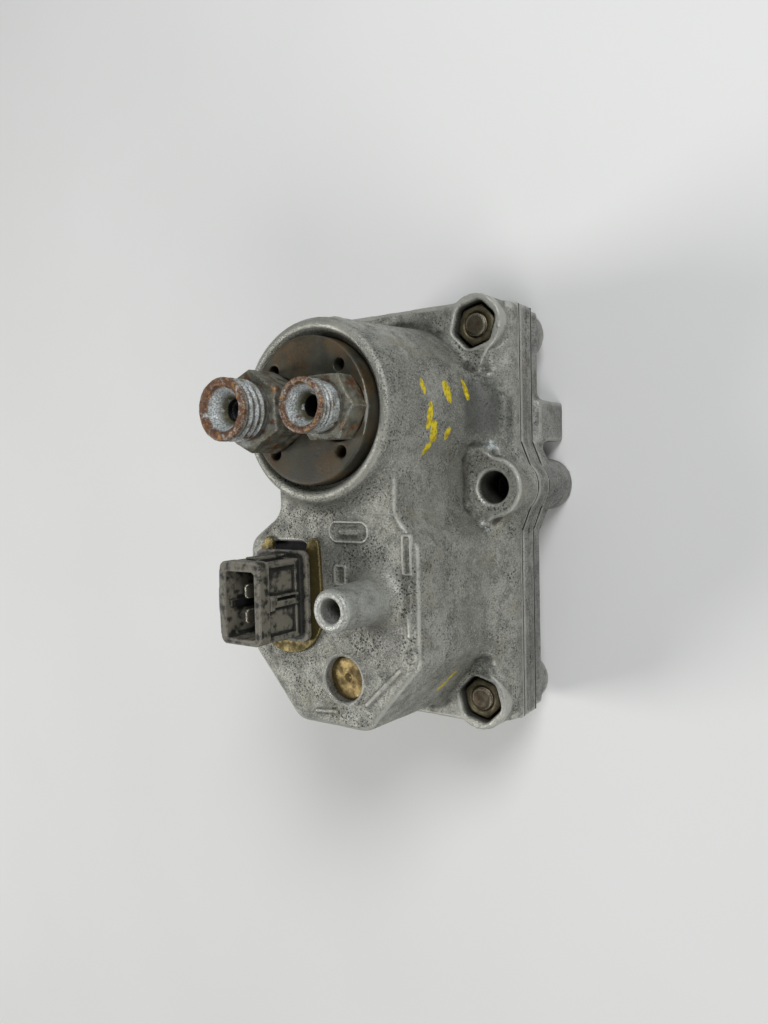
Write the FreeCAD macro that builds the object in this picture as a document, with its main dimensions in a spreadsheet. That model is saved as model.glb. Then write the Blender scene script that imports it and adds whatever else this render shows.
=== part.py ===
import FreeCAD, Part
import os
import re
import Sketcher

# Warm-up pressure regulator for a mechanical fuel-injection system.
#
# Frame: millimetres, +Z up, the origin on the table under the middle of the
# body. +X runs from the electrical connector to the fuel tower, and -Y is the
# side that carries the foot lug.
#
# Every driving dimension is a cell of the sheet "sizes". Each sub-part is a
# PartDesign body whose sketches and features read those cells.

SIZES = {
    "over": 1.0,               # how far a cut runs past the face that it opens
    "edge": 0.3,               # small chamfer of a turned or moulded edge
    "fit": 0.02,               # gap between pieces that only rest in place
    # outline of the clamped casting stack
    "side_x": 45.9,            # half length of the straight sides
    "side_y": 26.2,            # half width of the straight sides
    "screw_x": 40.9,           # corner screws
    "screw_y": 19.2,
    "corner_round": 6.6,       # corner boss
    "mount_x": 5.8,            # the two fixing bosses
    "mount_y": 23.8,
    "mount_round": 6.5,
    "mount_bore": 3.5,         # clears an M6 screw
    "mount_mouth": 3.9,
    "mouth_deep": 0.5,
    "mount_face": 6.2,         # the room that the flare leaves for a screw head
    "mount_room": 45.4,
    "web_wide": 9.8,           # half width of the fairing that carries a fixing boss
    "web_nose": 4.2,
    "web_reach": 4.6,
    "web_root": 12.0,          # how far in towards the middle the boss's shelf starts
    "cover_inset": 0.6,        # the cover and the gaskets lie inside the castings' edge
    "gasket_inset": 0.2,
    # levels
    "cover_low": 9.8,
    "cover_high": 14.3,
    "ring_low": 14.7,
    "ring_high": 20.5,
    "casing_low": 20.8,
    "skirt_high": 24.3,
    "shelf": 29.4,
    "mount_high": 30.4,
    "deck": 56.9,
    "ceiling": 53.4,
    "rim": 61.0,
    # box of the upper casting, at the deck
    "box_left": -42.1,
    "box_nose": 9.0,           # half width of the left end face
    "box_corner": -27.6,
    "box_side": 21.5,
    "box_right": -4.6,
    "waist_x": 1.2,
    "waist_front": -16.5,
    "waist_rear": 12.9,
    "wall": 3.0,
    "inner_trim": 1.0,         # how far the chamber's corners draw in from the box's
    "wall_draft": 2.0,
    "flare_draft": 33.0,
    "flare_left": -36.0,
    "flare_right": 33.0,
    "shelf_wide": 10.0,
    "deck_round": 0.9,
    "box_round": 4.0,
    # shelf fairings towards the box and the tower
    "tip_left": -31.2,
    "tip_right": 30.2,
    "tip_y": 20.0,
    "mount_tip": 8.3,
    "mount_tip_y": 20.6,
    # fuel tower
    "tower_x": 21.9,
    "tower_foot": 20.6,
    "tower_top": 18.4,
    "rim_round": 1.3,
    "mouth": 15.7,
    "mouth_taper": 0.5,
    "mouth_edge": 0.8,
    "mouth_low": 58.6,
    "disc_round": 14.6,
    "disc_low": 50.3,
    "disc_high": 62.5,
    "disc_recess": 1.0,        # relief under the disc, over the foil
    "disc_land": 11.0,
    "seat_round": 2.5,
    "seat_drop": 0.2,
    "groove_low": 52.7,
    "groove_high": 54.5,
    "groove_deep": 1.7,
    "gallery_low": 52.5,
    "gallery_high": 53.9,
    "gallery_half": 0.7,
    "gallery_bore": 1.0,
    "feed_bore": 1.5,
    "shoulder": 50.0,
    "shoulder_bore": 12.0,
    "tower_bore": 15.5,
    "tower_ceiling": 47.0,
    "arm_way": 10.0,           # half width of the passage for the bimetal arm
    # fuel ports
    "port_y": 7.75,
    "inlet_pocket": 7.8,
    "return_pocket": 7.3,
    "pocket_low": 60.9,
    "stub_low": 55.5,
    "inlet_stub": 5.0,
    "return_stub": 4.3,
    "inlet_flats": 14.0,
    "return_flats": 12.0,
    "inlet_hex_high": 70.9,
    "return_hex_high": 67.4,
    "inlet_tip": 77.8,
    "return_tip": 73.7,
    "inlet_thread": 5.95,
    "return_thread": 5.05,
    "inlet_pitch": 1.5,
    "return_pitch": 1.0,
    "inlet_drill": 2.1,
    "return_drill": 2.0,
    "inlet_cone": 4.3,
    "return_cone": 4.0,
    "cone_deep": 4.0,
    "thread_deep": 0.55,       # thread depth and crest places as shares of the pitch
    "crest_low": 0.35,
    "crest_high": 0.6,
    "first_turn": 0.5,
    "tip_edge": 0.4,
    "hex_chamfer": 1.4,
    "hex_beyond": 2.4,
    "hex_foot": 3.0,
    "seal_thick": 0.8,
    "inlet_seal_wide": 1.4,
    "return_seal_wide": 1.2,
    "filter_low": 12.0,        # places of the inlet filter below the tip
    "filter_high": 6.0,
    "filter_rim": 5.0,
    "filter_wall": 0.4,
    "pin_hole": 1.2,
    "pin_hole_at": 8.2,
    "pin_hole_deep": 3.0,
    # vacuum nipple, connector and pin on the deck
    "nipple_x": -15.1,
    "nipple_y": -12.0,
    "nipple_tip": 72.1,
    "nipple_round": 4.0,
    "nipple_bore": 2.3,
    "nipple_flare": 3.0,
    "nipple_neck": 1.3,
    "nipple_taper": 0.5,
    "flare_high": 0.7,
    "neck_high": 2.5,
    "plug_x": -32.2,
    "plug_y": -2.8,
    "plug_round": 4.65,
    "plug_top": 54.8,
    "dimple": 0.9,
    "dimple_deep": 0.5,
    "post_boss": 7.6,
    "post_boss_low": 46.0,
    "conn_x": -15.4,
    "conn_y": 10.4,
    "hood_x": 8.0,             # half sizes of the connector hood
    "hood_y": 5.05,
    "hood_high": 71.8,
    "band": 0.3,
    "band_low": 68.9,
    "cavity_x": 6.6,
    "cavity_y": 3.8,
    "cavity_low": 60.6,
    "key_half": 0.6,
    "key_deep": 1.1,
    "panel": 0.5,
    "rail": 1.2,               # width of the hood's edge rails and its foot
    "rib_half": 1.5,
    "rib_out": 0.8,
    "flange_x": 9.5,
    "flange_y": 7.0,
    "flange_low": 58.5,
    "flange_high": 59.8,
    "neck_x": 6.7,
    "neck_y": 4.8,
    "neck_deep": 1.2,
    "groove_y": 4.0,
    "stem_x": 6.5,
    "stem_y": 3.8,
    "stem_low": 52.4,
    "hole_left": -22.3,
    "hole_right": -4.5,
    "hole_y": 5.0,
    "blade_x": -15.8,
    "blade_y": 10.7,
    "blade_gap": 2.5,
    "blade_wide": 1.4,
    "blade_thick": 0.4,
    "blade_high": 69.9,
    "blade_low": 50.0,
    "clip_low": 56.95,
    "clip_thick": 1.2,
    "clip_end": -3.5,
    "clip_mid": -18.8,
    "clip_round": 9.1,
    "clip_front": 8.5,         # the tip's outer edges, from the connector's middle
    "clip_rear": 6.3,
    "clip_gap": 4.15,
    "clip_mouth": 5.8,         # inner edge of the front tip
    "clip_mouth_from": -8.0,
    "clip_corner": 1.0,
    # corner fasteners, M5
    "screw_round": 2.5,
    "screw_clear": 2.75,
    "screw_top": 28.5,
    "head_low": 5.6,
    "head_high": 9.1,
    "head_round": 4.25,
    "head_pocket": 4.6,
    "cover_boss_low": 4.9,
    "nut_flats": 8.0,
    "nut_pocket": 9.5,
    "nut_low": 23.9,
    "nut_high": 27.9,
    "nut_chamfer": 1.0,
    "nut_beyond": 1.5,
    "drive_half": 0.6,         # screwdriver slot of the flange screws
    "drive_deep": 1.4,
    # foot lug of the bottom cover
    "lug_left": 15.9,
    "lug_right": 25.2,
    "lug_front": 27.6,
    "lug_back": 19.5,
    "lug_high": 13.4,
    # diaphragm chamber and its moving plates
    "chamber": 18.0,
    "chamber_low": 10.0,
    "cup_round": 20.3,
    "cup_low": 7.5,
    "foot_half": 4.0,          # ribs from the fixing bosses to the middle of the cover
    "foot_root": 17.0,
    "foot_inset": 0.4,
    "stop_boss": 6.0,
    "stop_boss_low": 4.6,
    "stop_round": 3.0,
    "stop_low": 4.2,
    "stop_high": 11.5,
    "slot_half": 0.5,
    "slot_long": 2.0,
    "slot_deep": 1.2,
    "vent_x": 34.0,
    "vent_bore": 1.5,
    "ledge_low": 18.0,
    "ledge_bore": 7.4,
    "plate_round": 13.0,
    "plate_thick": 1.2,
    "rivet": 1.5,
    "collar": 4.2,
    "collar_high": 17.5,
    "rivet_head": 3.0,
    "rivet_head_high": 18.3,
    "rivet_foot": 4.0,
    "rivet_foot_low": 11.6,
    "pan_left": -35.0,
    "pan_right": -3.5,
    "pan_y": 15.5,
    "pan_low": 9.0,
    "pan_floor": 10.8,
    "pan_wall": 1.5,
    "pan_join": 6.0,
    "ring_floor": 2.0,
    # springs, cup and push pin
    "outer_coil": 8.6,
    "outer_wire": 0.9,
    "inner_coil": 5.2,
    "inner_wire": 0.6,
    "spring_gap": 0.06,
    "outer_turns": 6,
    "inner_turns": 10,
    "cup_floor": 39.8,
    "cup_plate": 40.6,
    "cup_land": 41.2,
    "cup_land_round": 5.0,
    "cup_skirt": 10.6,
    "cup_wall": 0.8,
    "cup_skirt_low": 35.0,
    "socket_round": 3.0,
    "socket_high": 44.0,
    "pin_stem": 1.5,
    "pin_head": 4.0,
    "pin_neck_high": 47.4,
    "pin_top": 48.9,
    "pin_slope": 0.4,
    "foil_round": 14.3,
    # bimetal arm, its post and its heater
    "arm_low": 41.4,
    "arm_thick": 1.2,
    "hinge_x": -26.2,
    "knuckle": 1.0,
    "knuckle_room": 1.06,
    "knuckle_y": 4.5,
    "arm_mid": 14.0,
    "arm_half": 6.5,
    "arm_end": 27.4,
    "fork_start": 18.0,
    "fork_half": 3.6,
    "clamp_left": -38.0,
    "clamp_right": -25.4,
    "clamp_y": 5.5,
    "clamp_low": 40.2,
    "clamp_high": 43.9,
    "clamp_slot": 0.95,
    "post_shank": 3.0,
    "post_step": 47.0,
    "heater_left": -20.0,
    "heater_right": 2.0,
    "sleeve": 1.2,
    "winding": 0.3,
    "ridge": 0.4,
    "ridge_wide": 0.9,
    "ridge_pitch": 2.0,
    "ridge_count": 10,
    "ridge_start": 1.3,
    "ridge_over": 2.0,
    "winding_trim": 1.0,
    "strap_low": 45.3,
    "strap_half": 1.0,
    "strap_thick": 0.5,
    "strap_end": -0.5,
}

CORNERS = [(-1, -1), (1, -1), (1, 1), (-1, 1)]
CORNER_NAMES = ["front_left", "front_right", "rear_right", "rear_left"]
SIDE_NAMES = {-1: "left", 1: "right"}
THREAD_TURNS = 3
HEX_TURN = 60
NUT_LEAN = 15
INLET_CORNER = 0
RETURN_CORNER = 30
FUNCTIONS = {"cos", "sin", "tan", "sqrt", "deg"}

document = FreeCAD.newDocument("pressure_regulator")
sizes = document.addObject("Spreadsheet::Sheet", "sizes")
for row, (alias, number) in enumerate(SIZES.items(), start=1):
    sizes.set("A%d" % row, str(number))
    sizes.setAlias("A%d" % row, alias)
document.recompute()

sub_parts = []


# ---------------------------------------------------------------- helpers

def bound(text):
    """Adds the sheet's name to every alias in an expression."""
    def qualify(match):
        word = match.group(0)
        return word if word in FUNCTIONS else "sizes." + word
    return re.sub(r"(?<![\w.])[a-z][a-z_]+", qualify, text)


def value(text):
    """The number that an expression of aliases has now."""
    return float(sizes.evalExpression(bound(text).replace("sizes.", "")))


def new_body(label):
    body = document.addObject("PartDesign::Body", label)
    body.Label = label
    sub_parts.append(body)
    return body


def new_sketch(body, role, x="0", y="0", z="0"):
    """A sketch on an origin plane, moved within and off that plane."""
    plane = [f for f in body.Origin.OriginFeatures if f.Role == role][0]
    sketch = body.newObject("Sketcher::SketchObject", body.Label + "_sketch")
    sketch.AttachmentSupport = [(plane, "")]
    sketch.MapMode = "FlatFace"
    for axis, text in zip("xyz", (x, y, z)):
        sketch.setExpression("AttachmentOffset.Base." + axis, bound(text))
    return sketch


def hold(sketch, index, position, x, y):
    """Ties a point of the sketch to two expressions."""
    for kind, text, axis in (("DistanceX", x, -2), ("DistanceY", y, -1)):
        number = value(text)
        if abs(number) < 1e-9:
            sketch.addConstraint(Sketcher.Constraint("PointOnObject", index, position, axis))
        else:
            name = sketch.addConstraint(Sketcher.Constraint(kind, -1, 1, index, position, number))
            sketch.setExpression("Constraints[%d]" % name, bound(text))


def add_outline(sketch, points):
    """A closed outline of straight lines through points given as expressions."""
    spots = [FreeCAD.Vector(value(x), value(y), 0) for x, y in points]
    first = sketch.GeometryCount
    count = len(spots)
    sketch.addGeometry([Part.LineSegment(spots[i], spots[(i + 1) % count]) for i in range(count)])
    for i in range(count):
        after = first + (i + 1) % count
        sketch.addConstraint(Sketcher.Constraint("Coincident", first + i, 2, after, 1))
    for i, (x, y) in enumerate(points):
        hold(sketch, first + i, 1, x, y)


def add_circle(sketch, x, y, radius):
    spot = FreeCAD.Vector(value(x), value(y), 0)
    index = sketch.addGeometry(Part.Circle(spot, FreeCAD.Vector(0, 0, 1), value(radius)))
    hold(sketch, index, 3, x, y)
    name = sketch.addConstraint(Sketcher.Constraint("Radius", index, value(radius)))
    sketch.setExpression("Constraints[%d]" % name, bound(radius))


def box_points(left, low, right, high):
    return [(left, low), (right, low), (right, high), (left, high)]


def hex_points(x, y, flats, turn):
    """Corners of a hexagon; turn is the angle of its first corner in degrees."""
    corner = "(%s) / (2 * cos(30 deg))" % flats
    return [
        ("(%s) + %s * cos(%d deg)" % (x, corner, turn + 60 * k),
         "(%s) + %s * sin(%d deg)" % (y, corner, turn + 60 * k))
        for k in range(6)
    ]


def extrude(body, kind, low, high, outlines=(), circles=(), draft=None, down=False):
    """Pads or pockets outlines and circles between two levels.

    The sketch lies at the low level, or at the high one where down is set, and
    a draft widens the walls as they leave the sketch.
    """
    sketch = new_sketch(body, "XY_Plane", z=high if down else low)
    for points in outlines:
        add_outline(sketch, points)
    for circle in circles:
        add_circle(sketch, *circle)
    feature = body.newObject("PartDesign::" + kind, body.Label + "_" + kind.lower())
    feature.Profile = sketch
    feature.setExpression("Length", bound("(%s) - (%s)" % (high, low)))
    feature.Reversed = down if kind == "Pad" else not down
    if draft:
        feature.setExpression("TaperAngle", bound(draft))
    return feature


def pad(body, low, high, **shapes):
    return extrude(body, "Pad", low, high, **shapes)


def pocket(body, low, high, **shapes):
    return extrude(body, "Pocket", low, high, **shapes)


def turn(body, kind, x, y, profile):
    """Revolves a profile of (radius, level) points about the upright line at x, y."""
    sketch = new_sketch(body, "XZ_Plane", x=x, z="-(%s)" % y)
    add_outline(sketch, profile)
    feature = body.newObject("PartDesign::" + kind, body.Label + "_" + kind.lower())
    feature.Profile = sketch
    feature.ReferenceAxis = (sketch, ["V_Axis"])
    feature.Angle = 360
    return feature


def turned(label, x, y, profile):
    body = new_body(label)
    turn(body, "Revolution", x, y, profile)
    return body


def round_edges(body, feature, radius, chosen):
    """Fillets the edges of a feature that the test picks."""
    document.recompute()
    names = ["Edge%d" % i for i, edge in enumerate(feature.Shape.Edges, start=1) if chosen(edge)]
    fillet = body.newObject("PartDesign::Fillet", body.Label + "_fillet")
    fillet.Base = (feature, names)
    fillet.setExpression("Radius", bound(radius))
    return fillet


def corner_spots():
    return [("%d * screw_x" % sx, "%d * screw_y" % sy) for sx, sy in CORNERS]


def mount_spots():
    return [("mount_x", "%d * mount_y" % side) for side in (-1, 1)]


def web_points(side):
    """Fairing between the straight side wall and a fixing boss."""
    reach = "%d * (mount_y + web_reach)" % side
    root = "%d * (side_y - over)" % side
    wall = "%d * side_y" % side
    return [
        ("mount_x - web_wide", root), ("mount_x - web_wide", wall), ("mount_x - web_nose", reach),
        ("mount_x + web_nose", reach), ("mount_x + web_wide", wall), ("mount_x + web_wide", root),
    ]


def stack_outline(body, low, high, inset="0"):
    """The plan shape that the castings and their gaskets share."""
    side = box_points("-side_x + " + inset, "-side_y + " + inset, "side_x - " + inset, "side_y - " + inset)
    pad(body, low, high, outlines=[side])
    for side_sign in (-1, 1):
        pad(body, low, high, outlines=[web_points(side_sign)])
    pad(body, low, high, circles=[(x, y, "corner_round - " + inset) for x, y in corner_spots()])
    pad(body, low, high, circles=[(x, y, "mount_round - " + inset) for x, y in mount_spots()])


def stack_holes(body, low, high):
    pocket(body, low, high, circles=[(x, y, "screw_clear") for x, y in corner_spots()])
    pocket(body, low, high, circles=[(x, y, "mount_bore") for x, y in mount_spots()])


def cavity_points():
    """Plan shape of the bimetal chamber in the upper casting."""
    left = "box_left + wall"
    nose = "box_nose - inner_trim"
    side = "box_side - wall"
    corner = "box_corner + inner_trim"
    right = "box_right + inner_trim"
    return [
        (left, "-(%s)" % nose), (corner, "-(%s)" % side), (right, "-(%s)" % side),
        ("waist_x", "-arm_way"), ("tower_x", "-arm_way"), ("tower_x", "waist_rear - wall"),
        ("waist_x", "waist_rear - wall"), (right, side), (corner, side), (left, nose),
    ]


# ---------------------------------------------------------------- castings

def make_upper_housing():
    body = new_body("upper_housing")
    box = [
        ("box_left", "-box_nose"), ("box_corner", "-box_side"), ("box_right", "-box_side"),
        ("waist_x", "waist_front"), ("tower_x", "waist_front"), ("tower_x", "waist_rear"),
        ("waist_x", "waist_rear"), ("box_right", "box_side"), ("box_corner", "box_side"),
        ("box_left", "box_nose"),
    ]
    block = pad(body, "casing_low", "deck", outlines=[box], draft="wall_draft", down=True)

    def upright(edge):
        ends = [vertex.Point for vertex in edge.Vertexes]
        tall = abs(ends[0].z - ends[-1].z) > value("deck - casing_low") / 2
        return tall and max(point.x for point in ends) < value("tower_x - over")

    rounded = round_edges(body, block, "box_round", upright)

    def on_deck(edge):
        box_of_edge = edge.BoundBox
        flat = box_of_edge.ZMin > value("deck - fit")
        return flat and box_of_edge.XMin < value("tower_x - over")

    round_edges(body, rounded, "deck_round", on_deck)
    stack_outline(body, "casing_low", "skirt_high")
    pad(body, "skirt_high", "shelf", draft="-flare_draft",
        outlines=[box_points("flare_left", "-side_y", "flare_right", "side_y")])
    make_shelf(body)
    turn(body, "Revolution", "tower_x", "0", [
        ("0", "casing_low"), ("tower_foot", "casing_low"), ("tower_top", "rim - rim_round"),
        ("tower_top - rim_round / 3", "rim - rim_round / 3"), ("tower_top - rim_round", "rim"),
        ("0", "rim"),
    ])
    turn(body, "Revolution", "nipple_x", "nipple_y", [
        ("0", "ceiling"), ("nipple_round + nipple_flare", "deck - over"),
        ("nipple_round + nipple_flare", "deck"), ("nipple_round + nipple_neck", "deck + flare_high"),
        ("nipple_round + nipple_taper", "deck + neck_high"), ("nipple_round", "nipple_tip - nipple_taper"),
        ("nipple_round - nipple_taper", "nipple_tip"), ("0", "nipple_tip"),
    ])
    hollow_upper_housing(body)


def make_shelf(body):
    """The nut shelves on the short sides and the tops of the fixing bosses."""
    pad(body, "skirt_high", "shelf", circles=[(x, y, "corner_round") for x, y in corner_spots()])
    pad(body, "skirt_high", "shelf", outlines=[
        box_points("-side_x", "-screw_y", "-side_x + shelf_wide", "screw_y"),
        box_points("tower_x", "-screw_y", "side_x", "screw_y"),
    ])
    for sx, sy in CORNERS:
        tip = "tip_left" if sx < 0 else "tip_right"
        pad(body, "skirt_high", "shelf", outlines=[[
            (tip, "%d * tip_y" % sy), ("%d * screw_x" % sx, "%d * (screw_y + corner_round)" % sy),
            ("%d * screw_x" % sx, "0"), (tip, "0"),
        ]])
    pad(body, "skirt_high", "mount_high", circles=[(x, y, "mount_round") for x, y in mount_spots()])
    for side in (-1, 1):
        pad(body, "skirt_high", "mount_high", outlines=[[
            ("mount_x - mount_tip", "%d * mount_tip_y" % side),
            ("mount_x - web_nose", "%d * (mount_y + web_reach)" % side),
            ("mount_x + web_nose", "%d * (mount_y + web_reach)" % side),
            ("mount_x + mount_tip", "%d * mount_tip_y" % side), ("mount_x", "%d * web_root" % side),
        ]])


def hollow_upper_housing(body):
    pocket(body, "casing_low", "tower_ceiling", outlines=[cavity_points()])
    left, corner, right = "box_left + wall", "box_corner + inner_trim", "box_right + inner_trim"
    nose, side = "box_nose - inner_trim", "box_side - wall"
    wide = [
        (left, "-(%s)" % nose), (corner, "-(%s)" % side), (right, "-(%s)" % side),
        ("waist_x", "-arm_way"), ("waist_x", "arm_way"),
        (right, side), (corner, side), (left, nose),
    ]
    pocket(body, "tower_ceiling - over", "ceiling", outlines=[wide])
    pad(body, "post_boss_low", "ceiling + over", circles=[("plug_x", "plug_y", "post_boss")])
    pocket(body, "post_boss_low - over", "deck + over", circles=[("plug_x", "plug_y", "plug_round")])
    turn(body, "Groove", "tower_x", "0", [
        ("0", "casing_low - over"), ("tower_bore", "casing_low - over"), ("tower_bore", "tower_ceiling"),
        ("shoulder_bore", "tower_ceiling"), ("shoulder_bore", "shoulder"), ("disc_round", "shoulder"),
        ("disc_round", "mouth_low"), ("mouth - mouth_taper", "mouth_low"), ("mouth", "rim - mouth_edge"),
        ("mouth + mouth_edge + over", "rim + over"), ("0", "rim + over"),
    ])
    pocket(body, "ceiling - over", "deck + over",
           outlines=[box_points("hole_left", "conn_y - hole_y", "hole_right", "conn_y + hole_y")])
    pocket(body, "ceiling - over", "nipple_tip + over", circles=[("nipple_x", "nipple_y", "nipple_bore")])
    stack_holes(body, "casing_low - over", "mount_high + over")
    for x, y in mount_spots():
        turn(body, "Groove", x, y, [
            ("0", "mount_high - mouth_deep"), ("mount_bore", "mount_high - mouth_deep"),
            ("mount_mouth", "mount_high"), ("mount_mouth", "mount_high + over"), ("0", "mount_high + over"),
        ])
        turn(body, "Groove", x, y, [
            ("0", "mount_high"), ("mount_face", "mount_high"),
            ("mount_face", "mount_room"), ("0", "mount_room + 2 * over"),
        ])
    for (x, y), (sx, sy) in zip(corner_spots(), CORNERS):
        pocket(body, "nut_low", "shelf + over", outlines=[
            hex_points(x, y, "nut_pocket", HEX_TURN + NUT_LEAN * sx * sy)])


def make_intermediate_ring():
    body = new_body("intermediate_ring")
    stack_outline(body, "ring_low", "ring_high")
    pocket(body, "ring_low + ring_floor", "ring_high + over",
           outlines=[box_points("pan_left", "-pan_y", "pan_right", "pan_y")])
    turn(body, "Groove", "tower_x", "0", [
        ("0", "ring_low - over"), ("chamber", "ring_low - over"), ("chamber", "ledge_low"),
        ("ledge_bore", "ledge_low"), ("ledge_bore", "ring_high + over"), ("0", "ring_high + over"),
    ])
    stack_holes(body, "ring_low - over", "ring_high + over")


def make_bottom_cover():
    body = new_body("bottom_cover")
    stack_outline(body, "cover_low", "cover_high", inset="cover_inset")
    pad(body, "cover_boss_low", "cover_low",
        circles=[(x, y, "corner_round - cover_inset") for x, y in corner_spots()])
    pad(body, "0", "cover_low", circles=[(x, y, "mount_round - foot_inset") for x, y in mount_spots()])
    for side in (-1, 1):
        pad(body, "cup_low", "cover_low", outlines=[
            box_points("mount_x - foot_half", "%d * foot_root" % side,
                       "mount_x + foot_half", "%d * mount_y" % side)])
    pad(body, "cup_low", "cover_low", circles=[("tower_x", "0", "cup_round")])
    pad(body, "stop_boss_low", "cup_low + over", circles=[("tower_x", "0", "stop_boss")])
    pad(body, "pan_low", "cover_low", outlines=[
        box_points("pan_left - pan_wall", "-pan_y - pan_wall", "pan_right + pan_join", "pan_y + pan_wall")])
    pad(body, "0", "lug_high", outlines=[
        box_points("lug_left", "-lug_front", "lug_right", "-lug_back")])
    pocket(body, "pan_floor", "cover_high + over",
           outlines=[box_points("pan_left", "-pan_y", "pan_right", "pan_y")])
    turn(body, "Groove", "tower_x", "0", [
        ("0", "stop_boss_low - over"), ("stop_round", "stop_boss_low - over"),
        ("stop_round", "chamber_low"), ("chamber", "chamber_low"), ("chamber", "cover_high + over"),
        ("0", "cover_high + over"),
    ])
    pocket(body, "cup_low - over", "chamber_low + over", circles=[("vent_x", "0", "vent_bore")])
    pocket(body, "-over", "cover_high + over",
           circles=[(x, y, "mount_bore") for x, y in mount_spots()])
    pocket(body, "cover_boss_low - over", "cover_high + over",
           circles=[(x, y, "screw_clear") for x, y in corner_spots()])
    pocket(body, "cover_boss_low - over", "head_high",
           circles=[(x, y, "head_pocket") for x, y in corner_spots()])


def make_housing_gasket():
    body = new_body("housing_gasket")
    stack_outline(body, "ring_high", "casing_low", inset="gasket_inset")
    pocket(body, "ring_high - over", "casing_low + over",
           outlines=[box_points("pan_left", "-pan_y", "pan_right", "pan_y")])
    pocket(body, "ring_high - over", "casing_low + over", circles=[("tower_x", "0", "tower_bore")])
    stack_holes(body, "ring_high - over", "casing_low + over")


def make_vacuum_diaphragm():
    body = new_body("vacuum_diaphragm")
    stack_outline(body, "cover_high", "ring_low", inset="gasket_inset")
    pocket(body, "cover_high - over", "ring_low + over", circles=[("tower_x", "0", "rivet + 5 * fit")])
    stack_holes(body, "cover_high - over", "ring_low + over")


# ---------------------------------------------------------------- fuel valve

def make_valve_body():
    body = turned("valve_body", "tower_x", "0", [
        ("0", "disc_low + seat_drop"), ("seat_round", "disc_low + seat_drop"),
        ("seat_round", "disc_low + disc_recess"), ("disc_land", "disc_low + disc_recess"),
        ("disc_land", "disc_low"), ("disc_round", "disc_low"), ("disc_round", "groove_low"),
        ("disc_round - groove_deep", "groove_low"), ("disc_round - groove_deep", "groove_high"),
        ("disc_round", "groove_high"), ("disc_round", "disc_high - edge"),
        ("disc_round - edge", "disc_high"), ("0", "disc_high"),
    ])
    mouth = "disc_high + over"
    pocket(body, "pocket_low", mouth, circles=[("tower_x", "port_y", "inlet_pocket")])
    pocket(body, "pocket_low", mouth, circles=[("tower_x", "-port_y", "return_pocket")])
    pocket(body, "stub_low", "pocket_low + over", circles=[
        ("tower_x", "port_y", "inlet_stub"), ("tower_x", "-port_y", "return_stub")])
    pocket(body, "disc_low - over", "stub_low + over", circles=[("tower_x", "port_y", "feed_bore")])
    pocket(body, "disc_low - over", "gallery_high", circles=[("tower_x", "0", "gallery_bore")])
    pocket(body, "gallery_low", "gallery_high", outlines=[
        box_points("tower_x - gallery_half", "-port_y", "tower_x + gallery_half", "0")])
    pocket(body, "gallery_low", "stub_low + over", circles=[("tower_x", "-port_y", "gallery_bore")])
    spots = [("tower_x + %d * pin_hole_at" % sx, "%d * pin_hole_at" % sy) for sx, sy in CORNERS]
    pocket(body, "disc_high - pin_hole_deep", mouth, circles=[(x, y, "pin_hole") for x, y in spots])


def make_union(side, name, corner_angle):
    """A fuel union: seat cone, male thread, neck, hexagon and screwed-in stub."""
    y = "%d * port_y" % side
    thread, pitch, tip = name + "_thread", name + "_pitch", name + "_tip"
    hex_low, hex_high = "pocket_low + seal_thick", name + "_hex_high"
    root = "%s - thread_deep * %s" % (thread, pitch)
    profile = [
        ("0", "stub_low"), (name + "_stub", "stub_low"), (name + "_stub", hex_low), (root, hex_low),
    ]
    for ridge in range(THREAD_TURNS, 0, -1):
        level = "%s - first_turn - %d * %s" % (tip, ridge, pitch)
        profile.append((root, level))
        profile.append((thread, "%s + crest_low * %s" % (level, pitch)))
        profile.append((thread, "%s + crest_high * %s" % (level, pitch)))
    profile += [
        (root, tip + " - first_turn"), (thread, tip + " - edge"), (thread + " - tip_edge", tip), ("0", tip),
    ]
    body = turned(name + "_union", "tower_x", y, profile)
    pad(body, hex_low, hex_high, outlines=[hex_points("tower_x", y, name + "_flats", corner_angle)])
    flat = name + "_flats / 2"
    beyond = flat + " + hex_beyond"
    turn(body, "Groove", "tower_x", y, [
        (flat + " - edge", hex_high), (beyond, hex_high + " - hex_chamfer"), (beyond, hex_high),
    ])
    turn(body, "Groove", "tower_x", y, [
        (flat + " - 2 * edge", hex_low), (beyond, hex_low), (beyond, hex_low + " + hex_foot"),
    ])
    turn(body, "Groove", "tower_x", y, [
        ("0", "stub_low - over"), (name + "_drill", "stub_low - over"),
        (name + "_drill", tip + " - cone_deep"), (name + "_cone", tip + " - edge"),
        (name + "_cone", tip + " + over"), ("0", tip + " + over"),
    ])


def make_fuel_seals():
    for side, name in ((1, "inlet"), (-1, "return")):
        inner = name + "_stub + fit"
        outer = "%s_stub + %s_seal_wide" % (name, name)
        turned(name + "_seal", "tower_x", "%d * port_y" % side, [
            (inner, "pocket_low"), (outer, "pocket_low"),
            (outer, "pocket_low + seal_thick"), (inner, "pocket_low + seal_thick"),
        ])
    inner, outer = "disc_round - groove_deep + 5 * fit", "disc_round - fit"
    low, high = "groove_low + 5 * fit", "groove_high - 5 * fit"
    turned("valve_body_seal", "tower_x", "0", [
        (inner, low), (outer + " - edge", low), (outer, low + " + edge"),
        (outer, high + " - edge"), (outer + " - edge", high), (inner, high),
    ])


def make_inlet_filter():
    low, high, rim = "inlet_tip - filter_low", "inlet_tip - filter_high", "inlet_tip - filter_rim"
    bore = "inlet_drill - 2 * fit"
    turned("inlet_filter", "tower_x", "port_y", [
        ("0", low), (bore + " - filter_wall", low), (bore, high), (bore, rim),
        (bore + " - filter_wall", rim), (bore + " - 2 * filter_wall", low + " + filter_wall"),
        ("0", low + " + filter_wall"),
    ])


def make_fuel_diaphragm():
    turned("fuel_diaphragm", "tower_x", "0", box_points("0", "shoulder", "foil_round", "disc_low"))


# ---------------------------------------------------------------- spring stack

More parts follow.
